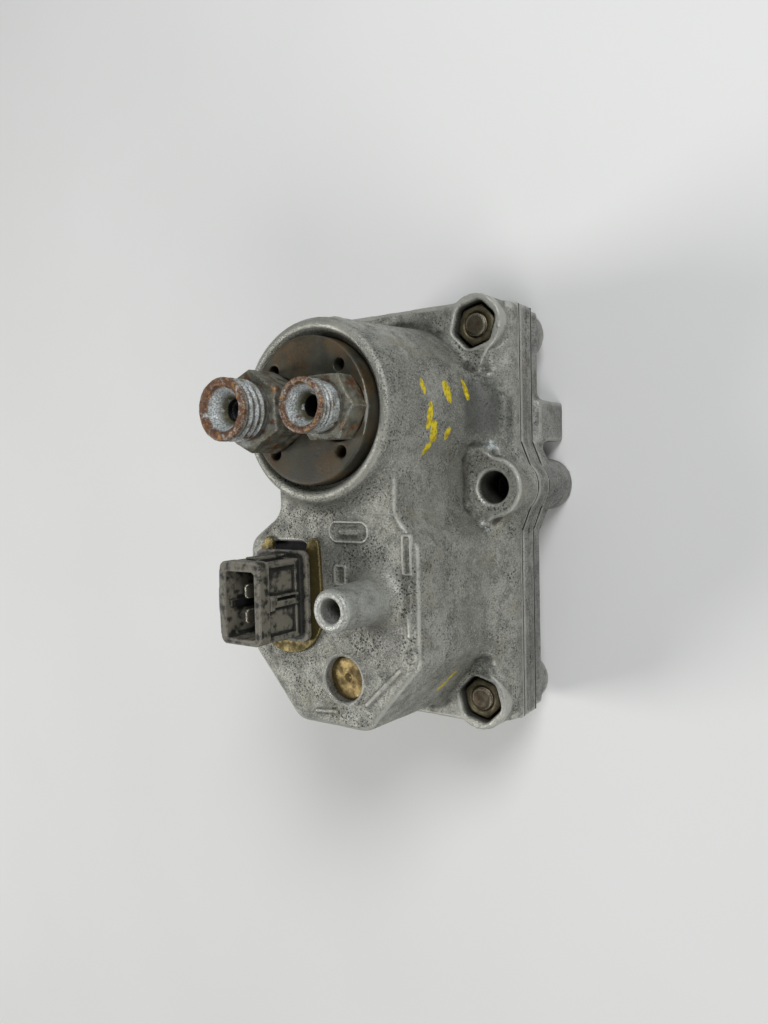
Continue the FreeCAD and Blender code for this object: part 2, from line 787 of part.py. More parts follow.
def make_push_pin():
    turned("push_pin", "tower_x", "0", [
        ("0", "cup_land"), ("pin_stem", "cup_land"), ("pin_stem", "pin_neck_high"),
        ("pin_head", "pin_neck_high + pin_slope"), ("pin_head", "pin_top - edge"),
        ("pin_head - 3 * edge", "pin_top"), ("0", "pin_top"),
    ])


def make_spring_cup():
    turned("spring_cup", "tower_x", "0", [
        ("0", "cup_floor"), ("cup_skirt - cup_wall", "cup_floor"),
        ("cup_skirt - cup_wall", "cup_skirt_low"), ("cup_skirt", "cup_skirt_low"),
        ("cup_skirt", "cup_plate - edge"), ("cup_skirt - edge", "cup_plate"),
        ("cup_land_round", "cup_plate"), ("cup_land_round", "cup_land"), ("socket_round", "cup_land"),
        ("socket_round", "socket_high"), ("pin_stem", "socket_high"), ("pin_stem", "cup_land"),
        ("0", "cup_land"),
    ])


def make_spring(name, low, high):
    """A coil spring between two levels, about the tower's axis."""
    body = new_body(name + "_spring")
    coil, wire = name + "_coil", name + "_wire"
    sketch = new_sketch(body, "XZ_Plane", x="tower_x")
    add_circle(sketch, coil, "%s + %s + spring_gap" % (low, wire), wire)
    helix = body.newObject("PartDesign::AdditiveHelix", body.Label + "_helix")
    helix.Profile = sketch
    helix.ReferenceAxis = (sketch, ["V_Axis"])
    helix.Mode = 0
    height = "%s - (%s) - 2 * %s - 2 * spring_gap" % (high, low, wire)
    helix.setExpression("Height", bound(height))
    helix.setExpression("Pitch", bound("(%s) / %s_turns" % (height, name)))


def make_vacuum_plates():
    turned("diaphragm_upper_plate", "tower_x", "0", [
        ("rivet", "ring_low"), ("plate_round", "ring_low"), ("plate_round", "ring_low + plate_thick"),
        ("collar", "ring_low + plate_thick"), ("collar", "collar_high - edge"),
        ("collar - edge", "collar_high"), ("rivet", "collar_high"),
    ])
    turned("diaphragm_lower_plate", "tower_x", "0", [
        ("rivet", "cover_high - plate_thick"), ("plate_round - edge", "cover_high - plate_thick"),
        ("plate_round", "cover_high - plate_thick + edge"), ("plate_round", "cover_high"),
        ("rivet", "cover_high"),
    ])
    turned("diaphragm_rivet", "tower_x", "0", [
        ("0", "rivet_foot_low"), ("rivet_foot - edge", "rivet_foot_low"),
        ("rivet_foot", "rivet_foot_low + edge"), ("rivet_foot", "cover_high - plate_thick"),
        ("rivet", "cover_high - plate_thick"), ("rivet", "collar_high"), ("rivet_head", "collar_high"),
        ("rivet_head - 2 * edge", "rivet_head_high"), ("0", "rivet_head_high"),
    ])


def make_lower_stop():
    body = turned("lower_stop", "tower_x", "0", [
        ("0", "stop_low"), ("stop_round - edge", "stop_low"), ("stop_round", "stop_low + edge"),
        ("stop_round", "stop_high - edge"), ("stop_round - edge", "stop_high"), ("0", "stop_high"),
    ])
    pocket(body, "stop_low - over", "stop_low + slot_deep", outlines=[
        box_points("tower_x - slot_long", "-slot_half", "tower_x + slot_long", "slot_half")])


# ---------------------------------------------------------------- bimetal

def make_bimetal_post():
    """Brass post pressed into the deck; its head shows in the round hole."""
    turned("bimetal_post", "plug_x", "plug_y", [
        ("0", "clamp_high - over"), ("post_shank", "clamp_high - over"), ("post_shank", "post_step"),
        ("plug_round", "post_step"), ("plug_round", "plug_top - edge"), ("plug_round - edge", "plug_top"),
        ("dimple", "plug_top"), ("0", "plug_top - dimple_deep"),
    ])


def make_bimetal_clamp():
    body = new_body("bimetal_clamp")
    middle = "arm_low + arm_thick / 2"
    low, high = "plug_y - clamp_y", "plug_y + clamp_y"
    pad(body, "clamp_low", "clamp_high", outlines=[box_points("clamp_left", low, "clamp_right", high)])
    pocket(body, "clamp_high - over", "clamp_high + over", circles=[("plug_x", "plug_y", "post_shank")])
    pocket(body, "%s - clamp_slot" % middle, "%s + clamp_slot" % middle,
           outlines=[box_points("hinge_x", low + " - over", "clamp_right + over", high + " + over")])
    sketch = new_sketch(body, "XZ_Plane", z="-(%s) + over" % low)
    add_circle(sketch, "hinge_x", middle, "knuckle_room")
    groove = body.newObject("PartDesign::Pocket", "clamp_groove")
    groove.Profile = sketch
    groove.setExpression("Length", bound("2 * clamp_y + 2 * over"))


def make_bimetal_strip():
    body = new_body("bimetal_strip")
    middle = "arm_low + arm_thick / 2"
    sketch = new_sketch(body, "XZ_Plane", z="-(plug_y) - knuckle_y")
    add_circle(sketch, "hinge_x", middle, "knuckle")
    knuckle = body.newObject("PartDesign::Pad", "strip_knuckle")
    knuckle.Profile = sketch
    knuckle.setExpression("Length", bound("2 * knuckle_y"))
    pad(body, "arm_low", "arm_low + arm_thick", outlines=[[
        ("hinge_x", "plug_y - knuckle_y"), ("arm_mid", "-arm_half"), ("arm_end", "-arm_half"),
        ("arm_end", "-fork_half"), ("fork_start", "-fork_half"), ("fork_start", "fork_half"),
        ("arm_end", "fork_half"), ("arm_end", "arm_half"), ("arm_mid", "arm_half"),
        ("hinge_x", "plug_y + knuckle_y"),
    ]])


def strip_slice(left, right, spare):
    """Plan of the strip between two places, with spare room on each side."""
    def half(side, x):
        run = "((%s - hinge_x) / (arm_mid - hinge_x))" % x
        return "(plug_y + %d * knuckle_y) * (1 - %s) + %d * arm_half * %s + %d * (%s)" % (
            side, run, side, run, side, spare)
    return [(left, half(-1, left)), (right, half(-1, right)), (right, half(1, right)), (left, half(1, left))]


def make_heater_sleeve():
    body = new_body("heater_sleeve")
    pad(body, "arm_low - sleeve", "arm_low + arm_thick + sleeve",
        outlines=[strip_slice("heater_left", "heater_right", "sleeve")])
    pocket(body, "arm_low", "arm_low + arm_thick",
           outlines=[strip_slice("heater_left - over", "heater_right + over", "0")])


def make_heater_winding():
    body = new_body("heater_winding")
    outer = "sleeve + winding"
    pad(body, "arm_low - sleeve - winding", "arm_low + arm_thick + sleeve + winding",
        outlines=[strip_slice("heater_left + winding_trim", "heater_right - winding_trim", outer)])
    ridge = pad(body, "arm_low - sleeve - ridge - winding", "arm_low + arm_thick + sleeve + ridge + winding",
                outlines=[box_points("heater_left + ridge_start", "plug_y - knuckle_y - ridge_over",
                                     "heater_left + ridge_start + ridge_wide",
                                     "plug_y + knuckle_y + ridge_over + ridge")])
    document.recompute()
    rows = body.newObject("PartDesign::LinearPattern", "winding_turns")
    rows.Originals = [ridge]
    rows.Direction = (ridge.Profile[0], ["H_Axis"])
    rows.setExpression("Length", bound("ridge_pitch * (ridge_count - 1)"))
    rows.Occurrences = SIZES["ridge_count"]
    body.Tip = rows
    pocket(body, "arm_low - sleeve", "arm_low + arm_thick + sleeve",
           outlines=[strip_slice("heater_left - over", "heater_right + over", "sleeve")])


# ---------------------------------------------------------------- electrical

def blade_section(side):
    """Cross-section of one terminal blade."""
    return box_points("blade_x + %d * blade_gap - blade_wide" % side, "blade_y - blade_thick",
                      "blade_x + %d * blade_gap + blade_wide" % side, "blade_y + blade_thick")


def make_connector_housing():
    body = new_body("connector_housing")

    def rim(half_x, half_y):
        return box_points("conn_x - (%s)" % half_x, "conn_y - (%s)" % half_y,
                          "conn_x + (%s)" % half_x, "conn_y + (%s)" % half_y)

    pad(body, "stem_low", "flange_low", outlines=[rim("stem_x", "stem_y")])
    pad(body, "clip_low - neck_deep", "clip_low - fit", outlines=[rim("neck_x", "neck_y")])
    pad(body, "clip_low - neck_deep", "flange_low", outlines=[rim("neck_x", "groove_y")])
    pad(body, "flange_low", "flange_high", outlines=[rim("flange_x", "flange_y")])
    pad(body, "flange_high", "hood_high", outlines=[rim("hood_x - panel", "hood_y - panel")])
    pad(body, "band_low", "hood_high", outlines=[rim("hood_x + band", "hood_y + band")])
    pad(body, "flange_high", "flange_high + rail", outlines=[rim("hood_x", "hood_y")])
    for side in (-1, 1):
        left, right = "conn_x + %d * hood_x" % side, "conn_x + %d * (hood_x - rail)" % side
        pad(body, "flange_high", "band_low",
            outlines=[box_points(left, "conn_y - hood_y", right, "conn_y + hood_y")])
    pad(body, "flange_high", "band_low", outlines=[rim("rail", "hood_y + band")])
    pad(body, "flange_high", "band_low", outlines=[
        box_points("conn_x + hood_x - edge", "conn_y - rib_half",
                   "conn_x + hood_x + rib_out", "conn_y + rib_half")])
    pocket(body, "cavity_low", "hood_high + over", outlines=[
        box_points("blade_x - cavity_x", "conn_y - cavity_y", "blade_x + cavity_x", "conn_y + cavity_y")])
    pad(body, "cavity_low", "hood_high - over", outlines=[
        box_points("blade_x - key_half", "conn_y + cavity_y - key_deep",
                   "blade_x + key_half", "conn_y + cavity_y")])
    pocket(body, "stem_low - over", "cavity_low + over", outlines=[blade_section(-1), blade_section(1)])


def make_terminal_blade(side):
    body = new_body("terminal_blade_" + SIDE_NAMES[side])
    pad(body, "blade_low", "blade_high", outlines=[blade_section(side)])


def make_contact_strap(side):
    """An angled strip that leads from a blade to one end of the heater."""
    body = new_body("contact_strap_" + SIDE_NAMES[side])
    left = "blade_x + %d * blade_gap - strap_half" % side
    right = "blade_x + %d * blade_gap + strap_half" % side
    pad(body, "strap_low", "blade_low", outlines=[
        box_points(left, "blade_y - strap_thick", right, "blade_y")])
    pad(body, "strap_low", "strap_low + strap_thick", outlines=[
        box_points(left, "strap_end", right, "blade_y - strap_thick / 2")])


def make_connector_seal():
    body = new_body("connector_seal")
    pad(body, "ceiling + 5 * fit", "clip_low - neck_deep - 5 * fit", outlines=[
        box_points("hole_left + 2 * fit", "conn_y - hole_y + 2 * fit",
                   "hole_right - 2 * fit", "conn_y + hole_y - 2 * fit")])
    pocket(body, "ceiling - over", "deck", outlines=[
        box_points("conn_x - stem_x", "conn_y - stem_y", "conn_x + stem_x", "conn_y + stem_y")])


def make_connector_clip():
    """A flat U-shaped spring clip, round at its closed end, with its front tip spread."""
    body = new_body("connector_clip")
    top = "clip_low + clip_thick"
    pad(body, "clip_low", top, circles=[("clip_mid", "conn_y", "clip_round")])
    pad(body, "clip_low", top, outlines=[[
        ("clip_mid", "conn_y - clip_round"), ("clip_end - clip_corner", "conn_y - clip_front"),
        ("clip_end", "conn_y - clip_front + clip_corner"), ("clip_end", "conn_y + clip_rear - clip_corner"),
        ("clip_end - clip_corner", "conn_y + clip_rear"), ("clip_mid", "conn_y + clip_round"),
    ]])
    pocket(body, "clip_low - over", top + " + over", outlines=[
        box_points("hole_left", "conn_y - clip_gap", "clip_end + over", "conn_y + clip_gap")])
    pocket(body, "clip_low - over", top + " + over", outlines=[[
        ("clip_mouth_from", "conn_y - clip_gap"), ("clip_end - clip_corner", "conn_y - clip_mouth"),
        ("clip_end + over", "conn_y - clip_mouth"), ("clip_end + over", "conn_y"), ("clip_mouth_from", "conn_y"),
    ]])


# ---------------------------------------------------------------- fasteners

def make_flange_screw(name, x, y):
    """A slotted M5 screw that clamps one corner of the casting stack."""
    body = turned("flange_screw_" + name, x, y, [
        ("0", "head_low"), ("head_round - edge", "head_low"), ("head_round", "head_low + edge"),
        ("head_round", "head_high"), ("screw_round", "head_high"), ("screw_round", "screw_top - edge"),
        ("screw_round - edge", "screw_top"), ("0", "screw_top"),
    ])
    pocket(body, "head_low - over", "head_low + drive_deep", outlines=[
        box_points(x + " - head_round", y + " - drive_half", x + " + head_round", y + " + drive_half")])


def make_flange_nut(name, x, y, corner_angle):
    body = new_body("flange_nut_" + name)
    pad(body, "nut_low", "nut_high", outlines=[hex_points(x, y, "nut_flats", corner_angle)])
    pocket(body, "nut_low - over", "nut_high + over", circles=[(x, y, "screw_round")])
    turn(body, "Groove", x, y, [
        ("nut_flats / 2 - edge", "nut_high"), ("nut_flats / 2 + nut_beyond", "nut_high - nut_chamfer"),
        ("nut_flats / 2 + nut_beyond", "nut_high"),
    ])


# ---------------------------------------------------------------- build

make_upper_housing()
make_intermediate_ring()
make_bottom_cover()
make_housing_gasket()
make_vacuum_diaphragm()
make_valve_body()
make_union(1, "inlet", INLET_CORNER)
make_union(-1, "return", RETURN_CORNER)
make_fuel_seals()
make_inlet_filter()
make_fuel_diaphragm()
make_push_pin()
make_spring_cup()
make_spring("outer", "ring_high", "cup_floor")
make_spring("inner", "ring_low + plate_thick", "cup_floor")
make_vacuum_plates()
make_lower_stop()
make_bimetal_post()
make_bimetal_clamp()
make_bimetal_strip()
make_heater_sleeve()
make_heater_winding()
make_connector_housing()
for side in SIDE_NAMES:
    make_terminal_blade(side)
    make_contact_strap(side)
make_connector_seal()
make_connector_clip()
for name, (x, y), (sx, sy) in zip(CORNER_NAMES, corner_spots(), CORNERS):
    make_flange_screw(name, x, y)
    make_flange_nut(name, x, y, HEX_TURN + NUT_LEAN * sx * sy)
document.recompute()

for item in document.Objects:
    if "Invalid" in item.State or "Error" in item.State:
        raise RuntimeError("%s did not recompute: %s" % (item.Label, item.State))
for piece in sub_parts:
    if piece.Shape.isNull() or not piece.Shape.isValid():
        raise RuntimeError("%s has no valid shape" % piece.Label)

os.makedirs("parts", exist_ok=True)
for piece in sub_parts:
    piece.Shape.exportStep("parts/%s.step" % piece.Label)
    print("%-24s solids %d  volume %9.1f" % (piece.Label, len(piece.Shape.Solids), piece.Shape.Volume))
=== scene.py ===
import math

import bpy
import numpy as np
import openvdb
from mathutils import Matrix, Vector


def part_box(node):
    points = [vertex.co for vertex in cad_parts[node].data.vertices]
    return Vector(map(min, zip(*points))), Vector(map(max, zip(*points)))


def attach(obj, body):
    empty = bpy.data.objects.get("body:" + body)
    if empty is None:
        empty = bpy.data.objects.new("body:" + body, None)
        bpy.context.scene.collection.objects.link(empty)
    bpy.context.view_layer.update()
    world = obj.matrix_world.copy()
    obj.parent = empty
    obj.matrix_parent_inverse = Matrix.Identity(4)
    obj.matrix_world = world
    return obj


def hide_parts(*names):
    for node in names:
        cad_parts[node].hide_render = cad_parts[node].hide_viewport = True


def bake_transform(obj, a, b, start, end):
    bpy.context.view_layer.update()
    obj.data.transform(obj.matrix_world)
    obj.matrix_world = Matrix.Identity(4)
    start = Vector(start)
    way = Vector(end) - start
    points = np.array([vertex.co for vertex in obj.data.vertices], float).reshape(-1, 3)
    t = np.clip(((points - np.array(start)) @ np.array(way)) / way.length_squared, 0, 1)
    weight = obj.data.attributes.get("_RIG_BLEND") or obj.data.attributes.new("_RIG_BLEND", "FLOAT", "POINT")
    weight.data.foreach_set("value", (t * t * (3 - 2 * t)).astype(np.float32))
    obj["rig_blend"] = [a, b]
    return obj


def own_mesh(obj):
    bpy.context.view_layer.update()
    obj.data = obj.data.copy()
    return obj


# Looks of the fuel warm-up pressure regulator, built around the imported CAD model.
#
# Every visible piece is a distance field, negative inside, on a regular grid.
# The castings start from their CAD solids, whose inner and outer edges are
# rounded; the turned, milled and moulded pieces are put together from simple
# distance functions. Each field is then turned into a mesh whose normals come
# from the field. Lengths are in millimetres up to the moment a mesh is made.

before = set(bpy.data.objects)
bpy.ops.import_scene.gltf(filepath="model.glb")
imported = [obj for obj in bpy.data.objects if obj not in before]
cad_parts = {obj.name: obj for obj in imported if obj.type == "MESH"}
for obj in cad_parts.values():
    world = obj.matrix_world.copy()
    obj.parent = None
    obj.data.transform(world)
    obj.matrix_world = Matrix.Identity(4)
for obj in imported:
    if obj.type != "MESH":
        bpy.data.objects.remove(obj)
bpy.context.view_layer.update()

MM = 0.001
COARSE = 1.0
random = np.random.default_rng(7)


# ---- places

def low_of(node):
    return np.array(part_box(node)[0]) / MM


def high_of(node):
    return np.array(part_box(node)[1]) / MM


def middle_of(node):
    return (low_of(node) + high_of(node)) / 2


DISC = middle_of("valve_body")
TOWER_X = DISC[0]
DISC_TOP = high_of("valve_body")[2]
NIPPLE_TIP = high_of("upper_housing")[2]
NIPPLE = np.array([-15.1, -12.0])
DECK = high_of("connector_clip")[2] - 1.25
RIM = DISC_TOP - 1.5
HOOD = np.array([-15.4, 10.4])
HOOD_TOP = high_of("connector_housing")[2]
COLLAR_LOW = HOOD_TOP - 2.9
BLADES_X = -15.8
MOUNT = np.array([5.8, 23.8])
MOUNT_HIGH = 30.4
POST = middle_of("bimetal_post")
CORNERS = {"front_left": (-1, -1), "front_right": (1, -1), "rear_right": (1, 1), "rear_left": (-1, 1)}
SCREWS = [(40.9 * side_x, 19.2 * side_y) for side_x, side_y in CORNERS.values()]
MOUNTS = [(MOUNT[0], MOUNT[1] * side) for side in (-1, 1)]


# ---- distance fields

class Field:
    """Distances on a grid of cells; start is the whole-number index of its first point."""

    def __init__(self, values, start, step):
        self.values, self.start, self.step = values, np.array(start), step

    def axes(self):
        """Coordinates of the grid, shaped so that they broadcast."""
        lines = [(self.start[i] + np.arange(self.values.shape[i])) * self.step for i in range(3)]
        return np.meshgrid(*lines, indexing="ij", sparse=True)

    def grid(self, band):
        made = openvdb.FloatGrid(band)
        made.transform = openvdb.createLinearTransform(voxelSize=self.step)
        values = np.clip(self.values, -band, band).astype(np.float32)
        made.copyFromArray(values, ijk=tuple(map(int, self.start)))
        return made

    def sample(self, points):
        """Distances at points, read between the grid's own."""
        place = points / self.step - self.start
        place = np.clip(place, 0, np.array(self.values.shape) - 1.001)
        cell = place.astype(np.int64)
        part = place - cell
        total = np.zeros(len(points))
        for corner in np.ndindex(2, 2, 2):
            spot = cell + corner
            weight = np.prod(np.where(corner, part, 1 - part), axis=1)
            total += weight * self.values[spot[:, 0], spot[:, 1], spot[:, 2]]
        return total

    def slopes(self, points):
        """Unit gradients at points."""
        found = np.empty_like(points)
        for axis in range(3):
            shift = np.zeros(3)
            shift[axis] = self.step * 0.6
            found[:, axis] = self.sample(points + shift) - self.sample(points - shift)
        return found / np.maximum(np.linalg.norm(found, axis=1), 1e-9)[:, None]

    def blurred(self, reach):
        """The distances averaged over a box of about that reach, twice."""
        cells = max(1, round(reach / self.step))
        values = self.values
        for _ in range(2):
            for axis in range(3):
                pads = [(0, 0)] * 3
                pads[axis] = (cells + 1, cells)
                sums = np.cumsum(np.pad(values, pads, mode="edge"), axis=axis, dtype=np.float64)
                upper = np.take(sums, range(2 * cells + 1, sums.shape[axis]), axis=axis)
                lower = np.take(sums, range(0, sums.shape[axis] - 2 * cells - 1), axis=axis)
                values = ((upper - lower) / (2 * cells + 1)).astype(np.float32)
        return Field(values, self.start, self.step)


def empty_field(low, high, step):
    """A grid that covers the box from low to high with a few cells to spare."""
    step = step * COARSE
    start = np.floor(np.array(low) / step).astype(int) - 3
    end = np.ceil(np.array(high) / step).astype(int) + 4
    return Field(np.zeros(tuple(end - start), np.float32), start, step)


def distances(points, triangles, quads, step, band):
    """An OpenVDB distance grid of a closed surface."""
    return openvdb.FloatGrid.createLevelSetFromPolygons(
        points, triangles=triangles, quads=quads,
        transform=openvdb.createLinearTransform(voxelSize=step), halfWidth=band / step)


def moved_surface(grid, reach, step, band):
    """The distance grid of the surface that lies reach outside a grid's own."""
    points, triangles, quads = grid.convertToPolygons(reach, 0.0)
    return distances(points, triangles, quads, step, band)


def read_grid(grid, field, shift=0.0):
    values = np.empty(field.values.shape, np.float32)
    grid.copyToArray(values, ijk=tuple(map(int, field.start)))
    return Field(values + shift, field.start, field.step)


def cad_grid(node, step, band):
    """The distance grid of a CAD node's own mesh."""
    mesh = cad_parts[node].data
    points = np.empty(len(mesh.vertices) * 3, np.float32)
    mesh.vertices.foreach_get("co", points)
    mesh.calc_loop_triangles()
    triangles = np.empty(len(mesh.loop_triangles) * 3, np.int32)
    mesh.loop_triangles.foreach_get("vertices", triangles)
    points, triangles = points.reshape(-1, 3) / MM, triangles.reshape(-1, 3).astype(np.uint32)
    return distances(points, triangles, None, step, band)


def filled_corners(node, field, reach):
    """A node's field with every inner corner rounded to the reach."""
    band = reach + 3 * field.step
    grid = cad_grid(node, field.step, band)
    return read_grid(moved_surface(grid, reach, field.step, band), field, reach)


def rounded_off(field, reach):
    """A field with its outer corners rounded to the reach."""
    band = reach + 3 * field.step
    inner = moved_surface(field.grid(band), -reach, field.step, band)
    return read_grid(inner, field, -reach)


def finer(field, like):
    """A coarse field read at the points of a finer one."""
    values = field.values
    for axis in range(3):
        count = like.values.shape[axis]
        place = (like.start[axis] + np.arange(count)) * like.step / field.step - field.start[axis]
        place = np.clip(place, 0, values.shape[axis] - 1.001)
        cell = place.astype(int)
        shape = [1, 1, 1]
        shape[axis] = count
        part = (place - cell).reshape(shape).astype(np.float32)
        values = np.take(values, cell, axis=axis) * (1 - part) + np.take(values, cell + 1, axis=axis) * part
    return values


def lumps(field, size):
    """Smooth random values from -1 to 1 over a field's grid, with lumps of that size."""
    extent = np.array(field.values.shape) * field.step
    count = tuple(np.ceil(extent / size).astype(int) + 3)
    cells = random.uniform(-1, 1, count).astype(np.float32)
    start = field.start * field.step / size
    coarse = Field(cells, start - 1, size)
    return finer(coarse, field)


# ---- shapes

def union(first, second, reach=0.0):
    """Either shape, with a fillet of about that reach where they meet."""
    if not reach:
        return np.minimum(first, second)
    share = np.clip(0.5 + 0.5 * (second - first) / reach, 0, 1)
    return second + (first - second) * share - reach * share * (1 - share)


def overlap(first, second, reach=0.0):
    """What both shapes cover, with its edge eased by about that reach."""
    return -union(-first, -second, reach)


def without(first, second, reach=0.0):
    return overlap(first, -second, reach)


def slab(along, low, high):
    return np.maximum(low - along, along - high)


def block(x, y, z, low, high, corner=0.0):
    """A box whose upright corners have that radius."""
    half_x, half_y = (high[0] - low[0]) / 2 - corner, (high[1] - low[1]) / 2 - corner
    across = np.abs(x - (low[0] + high[0]) / 2) - half_x
    deep = np.abs(y - (low[1] + high[1]) / 2) - half_y
    plan = np.hypot(np.maximum(across, 0), np.maximum(deep, 0)) + np.minimum(np.maximum(across, deep), 0)
    return np.maximum(plan - corner, slab(z, low[2], high[2]))


def hexagon(x, y, flats, turn):
    """Distance to the sides of an upright hexagon; turn is one corner's angle in degrees."""
    sides = [math.radians(turn + 30 + 60 * k) for k in range(3)]
    return np.maximum.reduce([np.abs(x * math.cos(a) + y * math.sin(a)) for a in sides]) - flats / 2


def thread_depth(x, y, z, pitch):
    """From 0 at the crests to 1 at the roots of a right-hand thread."""
    turn = np.arctan2(y, x) / (2 * math.pi)
    phase = np.abs(2 * np.mod(z / pitch - turn, 1.0) - 1)
    return np.clip(phase * 1.7 - 0.35, 0, 1)


def ramp(value, low, high):
    """From 0 at low to 1 at high, clamped."""
    return np.clip((value - low) / (high - low), 0, 1)


def all_of(*shapes):
    """What every one of the shapes covers."""
    total = shapes[0]
    for shape in shapes[1:]:
        total = np.maximum(total, shape)
    return total


def about(field, centre):
    """Coordinates about an upright axis, and the distance from it."""
    x, y, z = field.axes()
    x, y = x - centre[0], y - centre[1]
    return x, y, z, np.hypot(x, y)


def field_of(node, step):
    return empty_field(low_of(node), high_of(node), step)


def kept_within(field, node):
    """Trims a field to the box of its CAD node."""
    x, y, z = field.axes()
    field.values = np.maximum(field.values, block(x, y, z, low_of(node), high_of(node)))
    return field


# ---- meshes

def add_object(name, data):
    thing = bpy.data.objects.new(name, data)
    bpy.context.scene.collection.objects.link(thing)
    return thing


def piece_from(name, field, adaptivity=0.02, reach=0.5):
    """A mesh object from a field, with its normals and the attributes for worn edges, painted highlights and
    painted shade.

    The attribute edge is above 0 on outer corners and below 0 in inner ones,
    over about the reach, and nook is above 0 in hollows and pockets.
    """
    grid = field.grid(4 * field.step)
    points, triangles, quads = grid.convertToPolygons(0.0, adaptivity)
    points = points.astype(np.float64)
    normals = field.slopes(points)
    faces = [list(map(int, f)) for f in triangles] + [list(map(int, f)) for f in quads]
    first = faces[-1]
    across = np.cross(points[first[1]] - points[first[0]], points[first[2]] - points[first[0]])
    if np.dot(across, normals[first[0]]) < 0:
        faces = [f[::-1] for f in faces]
    mesh = bpy.data.meshes.new(name)
    mesh.from_pydata((points * MM).tolist(), [], faces)
    mesh.validate()
    mesh.polygons.foreach_set("use_smooth", [True] * len(mesh.polygons))
    mesh.update()
    if len(mesh.vertices) == len(points):
        mesh.normals_split_custom_set_from_vertices(normals.tolist())
    edge = field.blurred(reach).sample(points) / reach
    wide = Field(np.clip(field.values, -1.5, 1.5), field.start, field.step)
    nook = -wide.blurred(5 * reach).sample(points)
    for label, values in (("edge", edge), ("nook", nook)):
        layer = mesh.attributes.new(label, "FLOAT", "POINT")
        if len(values) == len(layer.data):
            layer.data.foreach_set("value", values.astype(np.float32))
    return add_object(name, mesh)


def settle(thing, material, slot, *nodes, body="housing"):
    """Gives a piece its material and its place in the frame."""
    thing.data.materials.clear()
    thing.data.materials.append(material)
    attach(thing, body)
    if nodes:
        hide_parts(*nodes)


# ---- materials

